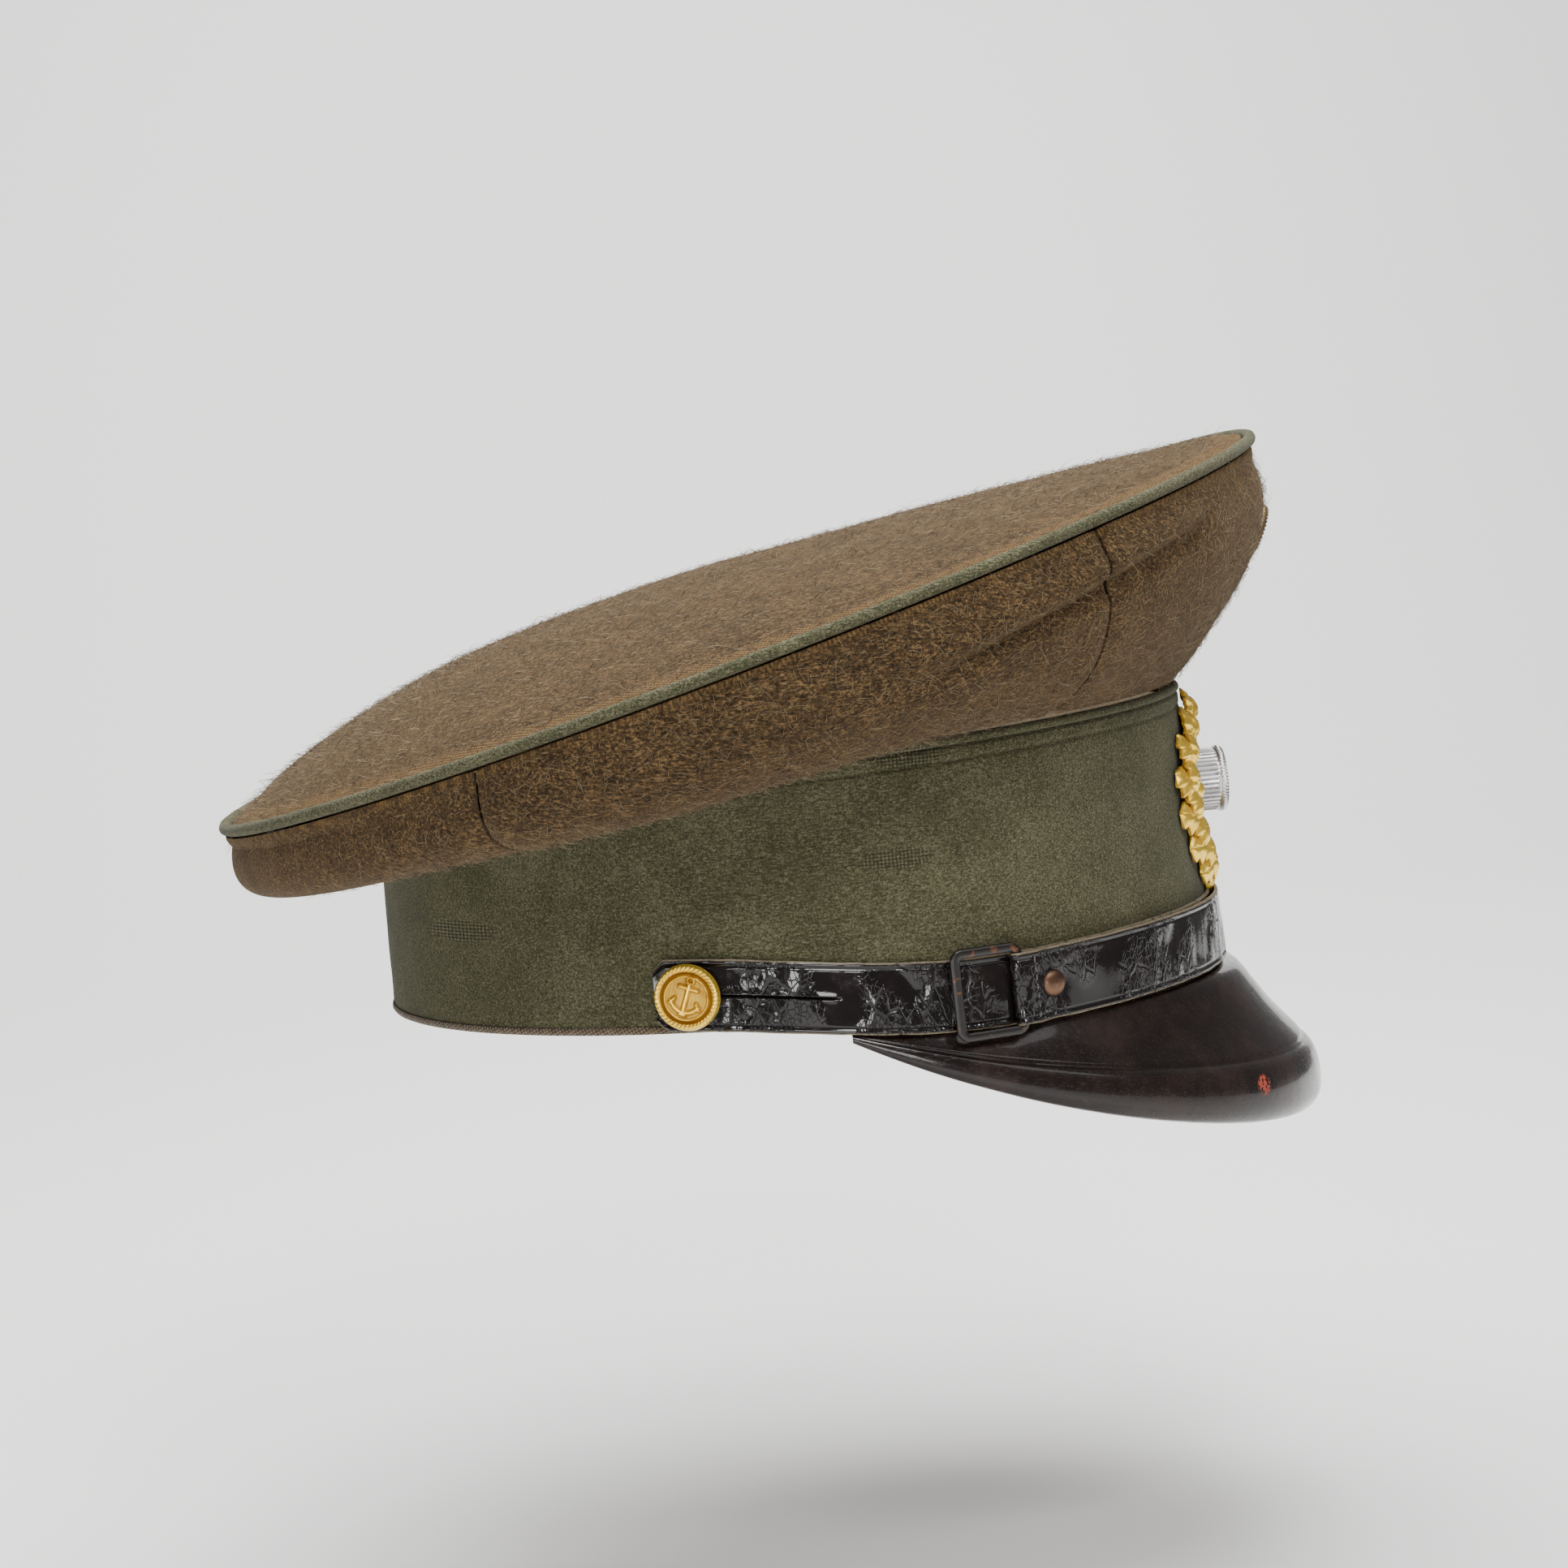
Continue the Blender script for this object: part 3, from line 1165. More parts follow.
@dataclass
class Nap:
    """Loose hairs on the wool: bent three-sided spikes rooted at random over a surface."""

    seed: int = 7

    def spikes(self, build: Build, root: Array, normal: Array, rng: np.random.Generator, slots: int) -> None:
        """Adds closed hairs: a base triangle, a middle one and a tip, along a root + direction t + droop t^2 curve.

        Args:
            build: Takes the hairs.
            root: Their roots.
            normal: The surface's normals there.
            rng: The source of chance.
            slots: How many tones are shared among them.
        """
        n = len(root)
        side = unit(np.cross(normal, rng.normal(size=(n, 3))))
        lean = rng.uniform(0.08, 0.42, (n, 1))
        way = unit(side + normal * lean)
        length = rng.gamma(4.0, 0.62, (n, 1)) + 0.7
        wide = rng.uniform(0.035, 0.062, (n, 1, 1))
        bend = unit(np.cross(way, rng.normal(size=(n, 3)))) * 0.25
        middle = root + (way * 0.55 + bend * 0.5) * length
        tip = root + (way + bend * 0.3 - normal * lean * 0.5) * length
        across = unit(np.cross(way, normal))
        up = np.cross(across, way)
        turn = np.radians([90.0, 210.0, 330.0])[None, :, None]
        ring = (across[:, None] * np.cos(turn) + up[:, None] * np.sin(turn)) * wide
        base = root[:, None] - normal[:, None] * 0.15 + ring
        points = np.concatenate([base, middle[:, None] + ring * 0.8, tip[:, None]], 1)
        k = np.arange(n)[:, None] * 7
        faces = [k + np.array([0, 2, 1, 1])]
        for i in range(3):
            j = (i + 1) % 3
            faces += [k + np.array([i, j, 3 + j, 3 + i]), k + np.array([3 + i, 3 + j, 6, 6])]
        tone = rng.integers(0, slots, n)
        build._add(points.reshape(-1, 3), faces, 0, {})
        build.slots[-1] = np.tile(tone, len(faces)).astype(np.int32)

    def build(self) -> None:
        """Makes the hairs of the top and of the four sides."""
        rng = np.random.default_rng(self.seed)
        crown = Crown()
        tones = (Stuff.HAIR_TAN, Stuff.HAIR_BROWN, Stuff.HAIR_DARK, Stuff.HAIR_TAN)
        n = 17000
        phi, f = rng.uniform(-180, 180, n), np.sqrt(rng.uniform(0.0005, 0.985, n))
        lift = crown.top_relief(phi, f)
        root = SHAPE.top_point(phi, f, -lift)
        t = math.radians(SHAPE.tilt)
        normal = np.tile([-math.sin(t), 0, math.cos(t)], (n, 1))
        build = Build("nap_top")
        self.spikes(build, root, normal, rng, len(tones))
        build.finish(*tones, slot="wool", smooth_angle=180)
        for side, start, end, count in (("front", -55, 55, 6500), ("left", 55, 120, 5000), ("right", -120, -55, 6500),
                                        ("rear", 120, 240, 6500)):
            phi, t = rng.uniform(start + 0.6, end - 0.6, count), rng.uniform(0.02, 0.98, count)
            relief = crown.side_relief(phi, t, start, end)
            point, normal = SHAPE.side_frame(phi, t)
            build = Build(f"nap_side_{side}")
            self.spikes(build, point + normal * relief[:, None], normal, rng, len(tones))
            build.finish(*tones, slot="wool", smooth_angle=180)


# ------------------------------------------------------------------ band and what lines it


@dataclass
class Band:
    """The felt band, its welt, the woven lower edge and the sweatband."""

    felt: float = 1.8
    welt_radius: float = 1.15
    hem_low: float = 2.0

    def build(self) -> None:
        """Makes every piece of the band."""
        self.wall()
        self.welt()
        self.edge()
        self.sweat()
        self.tape_and_bow()

    def wall(self) -> None:
        """The felt wall: the band's oval from its lower edge to its top, with soft dents and a sewn nape seam."""
        phi = np.linspace(-180, 180, 540, endpoint=False)[:, None]
        v = np.concatenate([np.linspace(0, 0.88, 36), np.linspace(0.89, 1, 26)])[None]
        z = self.hem_low + (SHAPE.band_top(phi) - 1.2 - self.hem_low) * v
        p = SHAPE.band_point(phi, 0.0, z)
        seam = (180 - np.abs(phi)) * 1.52
        dents = folds(p, 30, 81) * 0.28 + folds(p, 9, 87, 2) * 0.05
        groove = -0.55 * np.exp(-((seam / 0.9) ** 2)) + 0.2 * np.exp(-(((seam - 3) / 1.6) ** 2))
        below = SHAPE.band_top(phi) - z
        tuck = -0.6 * smooth(below, 2.0, 1.2) - 0.4 * np.exp(-(((below - 4.6) / 0.55) ** 2))
        off = dents * smooth(v, 0.0, 0.1) * smooth(v, 1, 0.9) + groove + tuck - 0.05
        outer = SHAPE.band_point(phi, off, z)
        inner = SHAPE.band_point(phi, -self.felt, z)
        build = Build("band_felt")
        build.slab(outer, inner, wrap_u=True, cloth=stack(SHAPE.arc(phi[:, 0])[:, None] * MM, z * MM, 0.0))
        piece = build.finish(Stuff.BAND_FELT, replaces=["cap_band"], slot="green_felt")
        declare_sheet(piece, (614, 66))

    def welt(self) -> None:
        """The welt along the band's top: a cord and a flat flange under it, carried round."""
        a = np.linspace(0, 2 * np.pi, 20, endpoint=False)
        section = np.stack([-0.7 + self.welt_radius * np.cos(a), self.welt_radius * np.sin(a)], 1)
        build = Build("band_welt")
        band_ring(build, section, np.linspace(-180, 180, 720, endpoint=False), rise=SHAPE.band_top, wobble=0.05)
        build.finish(Stuff.BAND_FELT, replaces=["band_piping"], slot="green_piping")

    def edge(self) -> None:
        """The woven edging under the band: a rounded hook section carried round."""
        section = curve([[0.15, 0.2], [0.55, 0.9], [0.25, 1.85], [-1.4, 1.95], [-3.1, 1.7], [-3.4, 0.9], [-3.1, 0.0],
                         [-1.4, -0.1], [0.1, 0.15]], 30)[:-1]
        build = Build("woven_lower_edge")
        band_ring(build, section, np.linspace(-180, 180, 720, endpoint=False), wobble=0.06)
        build.finish(Stuff.EDGE_CLOTH, replaces=["lower_edge_binding"], slot="edge_cloth")

    def sweat(self) -> None:
        """The leather sweatband, turned in at its lower edge, with two rows of stitches."""
        section = curve([[-3.7, 0.3], [-4.5, 4], [-5.2, 9.5], [-5.25, 25], [-5.2, 42], [-5.8, 42.4], [-6.35, 42],
                         [-6.4, 25], [-6.35, 9.5], [-5.6, 4], [-4.9, 0.3], [-4.3, 0.0]], 60)
        build = Build("sweat_leather_band")
        band_ring(build, section, wobble=0.12)
        build.finish(Stuff.SWEAT_LEATHER, replaces=["sweatband"], slot="sweat_leather")
        stitches = Build("sweatband_stitches")
        phi = np.arange(-180, 180, 2.1)
        for z, off in ((3.0, -5.45), (39.2, -6.38)):
            self.stitch_row(stitches, phi, off, z, 1.9)
        stitches.finish(Stuff.TAN_THREAD, slot="sweat_leather")

    @staticmethod
    def stitch_row(build: Build, phi: Array, off: float, z: float, length: float) -> None:
        """Adds one short thread for each angle: an arched tube of five rings lying along the band."""
        u = np.linspace(-0.5, 0.5, 5)
        for angle in phi:
            seat = Seat.on_band(float(angle), off, z)
            path = seat.put(u * length, u * 0, -0.22 * np.cos(u * np.pi))
            n = len(u)
            build.closed(tube(path, np.tile(seat.up, (n, 1)), np.tile(seat.out, (n, 1)), 0.16, 6))

    def tape_and_bow(self) -> None:
        """The tape over the sweatband's seam and the small ribbon bow above it."""
        tape = Build("sweatband_tape")
        band_ring(tape, curve([[-6.5, 10], [-6.5, 25], [-6.5, 40], [-6.8, 40.2], [-7.1, 40], [-7.15, 25], [-7.1, 10],
                               [-6.8, 9.8]], 40), np.linspace(177, 183, 24), False)
        tape.finish(Stuff.SWEAT_LEATHER, replaces=["sweatband_seam_tape"], slot="sweat_leather")
        bow = Build("ribbon_bow")
        seat = Seat.on_band(180.0, -8.2, 37.0)
        u = np.linspace(0, 1, 36)
        v = np.linspace(-1, 1, 9)[None]
        for sign in (-1, 1):
            loop = sign * (0.8 + 6.4 * np.sin(np.pi * u)[:, None] ** 0.8)
            depth = 0.55 * np.cos(np.pi * u)[:, None]
            width = (1.1 + 1.5 * np.sin(np.pi * u)[:, None]) * v
            lay = seat.put(loop + 0 * v, 0.4 + width, depth - 0.1 * v * v)
            bow.slab(lay, lay - seat.out * 0.22, cloth=stack(u[:, None] * 0.02, v * 0.003, 0.0))
            tail = u[:, None] * 6
            fall = seat.put(sign * (0.5 + tail * 0.6) + 0 * v, -tail * 0.9 + v * 1.2, 0.35 + 0.1 * np.sin(tail))
            bow.slab(fall, fall - seat.out * 0.22, cloth=stack(tail * MM, v * 0.002, 0.0))
        a = np.linspace(0, np.pi, 14)
        seat.turned(bow, 1.5 * np.sin(a) + 0.01, 0.9 * np.cos(a), 20)
        bow.finish(Stuff.RIBBON, replaces=["sweatband_bow"], slot="ribbon")


# ------------------------------------------------------------------ visor


@dataclass
class Visor:
    """The pressed visor: a drooping section that fades towards its ends, with a rounded bead along its edge."""

    reach: float = 25.4
    drop: float = 44.0
    thick: float = 1.8
    end: float = 88.0
    fade: float = 93.0
    root: tuple[float, float] = (-3.0, -0.4)
    section: tuple[tuple[float, float], ...] = (
        (0, 0), (0.05, 0.06), (0.12, 0.1), (0.33, 0.155), (0.475, 0.28), (0.613, 0.407), (0.78, 0.534), (0.87, 0.6),
        (0.93, 0.655), (0.985, 0.75), (1, 0.85), (0.985, 0.93), (0.92, 0.985), (0.84, 1))

    def build(self) -> None:
        """The shell: the section's shares of the reach and drop at each angle, and the same line moved inside."""
        n, m = 225, 120
        phi = np.linspace(-self.end, self.end, n)[:, None]
        share = curve(self.section, m)[None]
        reach = self.reach * np.cos(np.radians(phi * 90 / self.fade)).clip(0) ** 1.5 - self.root[0]
        drop = self.drop * (1 - (np.abs(phi) / self.fade) ** 2.05)
        bow = 1 + 0.6 * smooth(np.abs(phi), 20, 60)
        off = self.root[0] + reach * share[..., 0].clip(0) ** bow
        z = self.root[1] - drop * share[..., 1]
        grow = np.minimum(1, drop / 16)
        d_off, d_z = np.gradient(off, axis=1), np.gradient(z, axis=1)
        size = np.hypot(d_off, d_z).clip(1e-6)
        n_off, n_z = -d_z / size, d_off / size
        groove = -0.5 * np.exp(-(((share[..., 1] - 0.612) / 0.017) ** 2))
        bead = 0.5 * smooth(share[..., 1], 0.63, 0.68)
        p = SHAPE.band_point(phi, off, 0.0) + UP * z[..., None]
        ripple = folds(p, 34, 91, 2) * 0.16 * smooth(share[..., 1], 0.03, 0.12)
        lift = (groove + bead) * grow + ripple
        wall = self.thick * grow
        outer = SHAPE.band_point(phi, off + n_off * lift, 0.0) + UP * (z + n_z * lift)[..., None]
        in_off, in_z = off - n_off * wall, np.minimum(z - n_z * wall, self.root[1] - 0.05)
        inner = SHAPE.band_point(phi, in_off, 0.0) + UP * in_z[..., None]
        build = Build("visor_board")
        build.slab(outer, inner, inside=np.stack([np.zeros((n, m)), np.ones((n, m))]))
        build.finish(Stuff.VISOR, replaces=["visor_shell"], slot="visor_fibre")
        stitches = Build("visor_stitches")
        Band.stitch_row(stitches, np.arange(-82, 82, 2.4), -3.35, 1.0, 2.6)
        stitches.finish(Stuff.THREAD, slot="edge_cloth")


# ------------------------------------------------------------------ chin strap


@dataclass
class Strap:
    """The two-part chin strap with its slides, rivets and sewn fold."""

    width: float = 17.0
    leather: float = 1.1
    slide_phi: float = 70.0
    slide_z: float = 3.2
    slide_size: tuple[float, float] = (18.0, 22.0)
    bar: float = 2.3
    slide_thick: float = 1.35

    def build(self) -> None:
        """Makes both halves and their hardware."""
        self.inner_half()
        self.outer_half()
        self.fold()
        for side, name in ((-1, "right"), (1, "left")):
            self.slide(side, name)
        self.rivets()

    def ribbon(self, build: Build, phi: Array, off: Array, taper: tuple[float, float] = (0, 0), torn: float = 0.0,
               slit: Optional[tuple[float, float]] = None) -> None:
        """Adds a strap along a path, its wall square to the path and embossed along both edges.

        Args:
            build: Takes the strap.
            phi: The path's angles.
            off: The path's distance from the band, at the wall's middle.
            taper: How much is trimmed off the corners at the first and the last end.
            torn: How ragged the edges are.
            slit: The angles between which a slit runs along the middle.
        """
        v = np.concatenate([np.linspace(-1, -0.72, 12), np.linspace(-0.68, -0.08, 12), np.linspace(-0.06, 0.06, 9),
                            np.linspace(0.08, 0.68, 12), np.linspace(0.72, 1, 12)])[None]
        ground = SHAPE.band_point(phi, 0.0, 0.0)
        along = np.gradient(_travel(phi, ground))
        rise = np.gradient(off)
        size = np.hypot(along, rise).clip(1e-6)
        facing = np.sign(along[0])
        n_along, n_off = -facing * rise / size, facing * along / size
        per = np.array([SHAPE.stretch(float(p)) for p in phi])
        arc = np.concatenate([[0], np.cumsum(np.hypot(np.diff(_travel(phi, ground)), np.diff(off)))])
        trim = taper[0] * np.clip(1 - arc / 2.5, 0, 1) + taper[1] * np.clip(1 - (arc[-1] - arc) / 2.5, 0, 1)
        half = (self.width / 2 - trim)[:, None]
        z = SHAPE.strap_middle(phi)[:, None] + half * v
        seed = SHAPE.band_point(phi[:, None], 0.0, z)
        ragged = folds(seed, 5, 101, 2) * torn * smooth(np.abs(v), 0.9, 1.0)
        z = z + ragged * np.sign(v)
        crease = -0.3 * np.exp(-(((np.abs(v) - 0.83) / 0.035) ** 2))
        soft = -0.28 * smooth(np.abs(v), 0.93, 1.0)
        plump = folds(seed, 11, 111, 2) * 0.1 + folds(seed * [1, 1, 0.35], 3.4, 119, 2) * 0.07
        cut = np.zeros_like(z)
        if slit:
            run = smooth(phi, slit[0] - 0.3, slit[0]) * smooth(phi, slit[1] + 0.3, slit[1])
            cut = -0.8 * run[:, None] * np.exp(-((v / 0.028) ** 2)) + 0.12 * run[:, None] * np.exp(-((v / 0.1) ** 2))
        half_wall = self.leather / 2
        face = half_wall + crease + soft + plump + cut
        outer_off = off[:, None] + n_off[:, None] * face
        outer_phi = phi[:, None] + (n_along / per)[:, None] * face
        back = -half_wall - soft * 0.5
        inner_off = off[:, None] + n_off[:, None] * back
        inner_phi = phi[:, None] + (n_along / per)[:, None] * back
        outer = SHAPE.band_point(outer_phi, outer_off, z)
        inner = SHAPE.band_point(inner_phi, inner_off, z)
        raw = smooth(np.abs(v), 0.94, 0.985) + 0 * z
        raw = np.stack([raw, np.ones_like(raw)])
        cloth = stack(arc[:, None] * MM, half * v * MM, 0.0)
        build.slab(outer, inner, cloth=cloth, raw=raw, crack=np.stack([np.ones_like(z), np.zeros_like(z)]))

    def inner_half(self) -> None:
        """The half from the right button under the right slide and the outer half to the left slide's front bar."""
        phi = np.linspace(-112.5, 66.5, 560)
        build = Build("strap_inner_half")
        self.ribbon(build, phi, np.full_like(phi, 0.85), (2.5, 2.0), 0.1, (-105.0, -89.6))
        piece = build.finish(Stuff.PATENT, body="", replaces=["strap_right"], slot="strap_leather")
        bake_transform(piece)

    def outer_off(self, phi: Array) -> Array:
        """Middle of the outer half: on the inner half, up over the left slide's front bar, and down to the band."""
        over = 2.05 * smooth(phi, 60.2, 64.2)
        return 2.95 + over - 3.9 * smooth(phi, 67.4, 72.6)

    def outer_half(self) -> None:
        """The left half in two pieces that meet inside the left slide, so that each follows it on its own side."""
        split = 68.5
        rear = Build("strap_outer_rear")
        phi = np.linspace(112.5, split, 160)
        self.ribbon(rear, phi, self.outer_off(phi), (2.5, 0), 0.1)
        piece = rear.finish(Stuff.PATENT, body="", replaces=["strap_left"], slot="strap_leather")
        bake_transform(piece)
        middle = Build("strap_outer_middle")
        phi = np.linspace(split, 0, 300)
        self.ribbon(middle, phi, self.outer_off(phi), (0, 0), 0.1)
        piece = middle.finish(Stuff.PATENT, body="", slot="strap_leather")
        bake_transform(piece)

    def fold(self) -> None:
        """The outer half's right end: over the slide's front bar, round it and back under itself."""
        a = np.linspace(np.pi / 2, 3 * np.pi / 2, 40)
        mm = SHAPE.stretch(-65.8)
        path = np.concatenate([
            np.stack([np.linspace(0, -60.5, 260), np.full(260, 2.95)], 1),
            np.stack([np.linspace(-60.7, -65.3, 50),
                      2.95 + 1.4 * smooth(np.linspace(-60.7, -65.3, 50), -61, -64.6)], 1),
            np.stack([-65.7 + 1.32 * np.cos(a) / mm, 3.1 + 1.25 * np.sin(a)], 1),
            np.stack([np.linspace(-65.3, -57, 50), np.full(50, 1.85)], 1)])
        build = Build("strap_outer_fold")
        self.ribbon(build, path[:, 0], path[:, 1], (0, 1.5), 0.14)
        piece = build.finish(Stuff.PATENT, body="", slot="strap_leather")
        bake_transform(piece)
        stitches = Build("strap_fold_stitches")
        u = np.linspace(-0.5, 0.5, 7)
        middle = float(SHAPE.strap_middle(-63.6))
        for k in np.linspace(-6.4, 6.4, 7):
            seat = Seat.on_band(-63.7, 4.62, middle + float(k))
            path = seat.put(0.12 * u, u * 1.5, 0.16 * np.cos(u * np.pi) - 0.1)
            n = len(u)
            stitches.closed(tube(path, np.tile(seat.across, (n, 1)), np.tile(seat.out, (n, 1)), 0.2, 8))
        stitches.finish(Stuff.THREAD, body="strap_slide_right", slot="strap_leather")

    def slide(self, side: int, name: str) -> None:
        """A slide: a rounded rectangle bent along the band, with a cushion-shaped section carried round it."""
        w, h = self.slide_size
        line = rounded(w - self.bar, h - self.bar, 1.9, 160)
        tangent = unit(np.roll(line, -1, 0) - np.roll(line, 1, 0))
        normal = np.stack([tangent[:, 1], -tangent[:, 0]], 1)
        b = np.linspace(0, 2 * np.pi, 20, endpoint=False)
        flat = np.sign(np.cos(b)) * np.abs(np.cos(b)) ** 0.75 * self.bar / 2
        thick = np.sign(np.sin(b)) * np.abs(np.sin(b)) ** 0.75 * self.slide_thick / 2
        across = line[:, None, 0] + normal[:, None, 0] * flat[None]
        up = line[:, None, 1] + normal[:, None, 1] * flat[None]
        mm = SHAPE.stretch(self.slide_phi)
        phi = side * self.slide_phi + across / mm
        off = 3.1 + thick[None] + 0 * across
        grid = SHAPE.band_point(phi, off, self.slide_z + up)
        corner = smooth(np.abs(across), w / 2 - 2.6, w / 2 - 0.5) * smooth(np.abs(up), h / 2 - 3.4, h / 2 - 0.8)
        ridge = smooth(thick, 0.35, 0.62)[None] * 0.55
        build = Build(f"slide_frame_{name}")
        build.closed(grid, ring=True, wear=np.clip(corner + ridge, 0, 1))
        build.finish(Stuff.SLIDE, body=f"strap_slide_{name}", replaces=[f"slide_{name}"], slot="slide_metal")

    def rivets(self) -> None:
        """The domed rivet on the fold, turned, and the low one that the outer half hides."""
        z = float(SHAPE.strap_middle(-61.0))
        domed = Build("rivet_domed")
        profile = curve([[0.01, 0], [1.2, 0], [1.25, 1.0], [3.0, 1.15], [3.2, 1.45], [2.85, 1.95], [1.7, 2.5],
                         [0.01, 2.75]], 60)
        Seat.on_band(-61.0, 2.35, z).turned(domed, profile[:, 0], profile[:, 1], 64,
                                            hollow=smooth(profile[:, 0], 2.4, 3.2))
        domed.finish(Stuff.BRONZE, body="strap_slide_right", replaces=["strap_rivet_right"], slot="rivet")
        low = Build("rivet_low")
        profile = curve([[0.01, 0], [1.2, 0], [1.2, 1.2], [2.3, 1.25], [2.3, 1.5], [0.01, 1.6]], 40)
        Seat.on_band(61.0, 0.5, z).turned(low, profile[:, 0], profile[:, 1], 48)
        low.finish(Stuff.BRONZE, replaces=["strap_rivet_left"], slot="rivet")


def _travel(phi: Array, ground: Array) -> Array:
    """Signed length along the band at each angle of a path that may turn back."""
    steps = np.linalg.norm(np.diff(ground, axis=0), axis=-1) * np.sign(np.diff(phi))
    return np.concatenate([[0.0], np.cumsum(steps)])


# ------------------------------------------------------------------ side buttons


@dataclass
class Button:
    """A pressed gilt button: roped rim, groove, inner ring and a plain anchor in relief."""

    side: int
    name: str
    radius: float = 7.8
    off: float = 2.5
    phi: float = 108.0
    lean: float = 20.0

    def anchor(self, x: Array, y: Array) -> Array:
        """Distance to a simple anchor: the least over its shank, stock, ring, arms and flukes."""
        def bar(ax: float, ay: float, bx: float, by: float, half: float) -> Array:
            """Distance to a round-ended bar."""
            d = np.array([bx - ax, by - ay])
            t = (((x - ax) * d[0] + (y - ay) * d[1]) / (d @ d)).clip(0, 1)
            return np.hypot(x - ax - t * d[0], y - ay - t * d[1]) - half
        r = np.hypot(x, y - 0.2)
        arms = np.where(y < -0.9, np.abs(r - 2.85) - 0.34, 9.0)
        ring = np.abs(np.hypot(x, y - 3.35) - 0.62) - 0.2
        parts = [bar(0, -2.7, 0, 2.6, 0.36), bar(-1.7, 1.9, 1.7, 1.9, 0.3), ring, arms,
                 bar(-2.75, -1.5, -2.1, -0.5, 0.3), bar(2.75, -1.5, 2.1, -0.5, 0.3), bar(-0.4, -3.0, 0.4, -3.0, 0.35)]
        return np.minimum.reduce(parts)

    def build(self) -> None:
        """The shell: height over the disc is rim roll + ring + dome + anchor, on rings out and back underneath."""
        seat = Seat.on_band(self.side * self.phi, self.off, float(SHAPE.strap_middle(self.phi)))
        theta = np.linspace(0, 2 * np.pi, 256, endpoint=False)[None]
        r = np.linspace(0.03, self.radius, 120)[:, None]
        ang = theta + math.radians(self.lean) * -self.side
        x, y = r * np.cos(ang), r * np.sin(ang)
        far = self.anchor(x / 1.26, y / 1.26)
        dome = 1.6 + 0.35 * np.sqrt((1 - (r / 5.4) ** 2).clip(0))
        rope = 0.16 * np.sin(theta * 44 + r * 3.6) * smooth(r, 6.0, 6.4) * smooth(r, 7.75, 7.3)
        ring = 0.42 * np.exp(-(((r - 5.1) / 0.26) ** 2))
        rim = 0.95 * np.sqrt((1 - ((r - 6.85) / 1.0) ** 2).clip(0))
        relief = 0.85 * smooth(far, 0.22, -0.28)
        grain = 0.03 * np.sin(x * 9) * smooth(far, 0.2, 0.8) * smooth(r, 4.9, 4.2)
        h = np.where(r < 5.85, dome + ring + relief + grain, 1.3 + rim + rope) - 0.9 * smooth(r, 7.3, 7.8)
        h = h - 0.25 * np.exp(-(((r - 5.85) / 0.2) ** 2))
        hollow = smooth(h, 2.5, 1.75) * smooth(r, 7.6, 6.6) * 0.75 + 0.5 * np.exp(-(((r - 5.8) / 0.3) ** 2))
        hollow = hollow + 0.35 * np.exp(-((far / 0.25) ** 2)) * (r < 5)
        back_r = np.array([7.75, 7.3, 6.6, 2.3, 2.25, 0.03])[:, None]
        back_h = np.array([0.75, 0.1, 0.0, 0.0, 1.5, 1.5])[:, None] + 0 * theta
        radius = np.concatenate([r + 0 * theta, back_r + 0 * theta])
        height = np.concatenate([h + 0 * theta, back_h])
        dark = np.concatenate([hollow + 0 * theta, np.full_like(back_h, 0.4)])
        build = Build(f"button_pressed_{self.name}")
        seat.turned(build, radius, height, 256, hollow=dark)
        build.finish(Stuff.GILT, body=f"side_button_{self.name}", replaces=[f"button_shell_{self.name}"], slot="gilt",
                     smooth_angle=60)


# ------------------------------------------------------------------ emblems


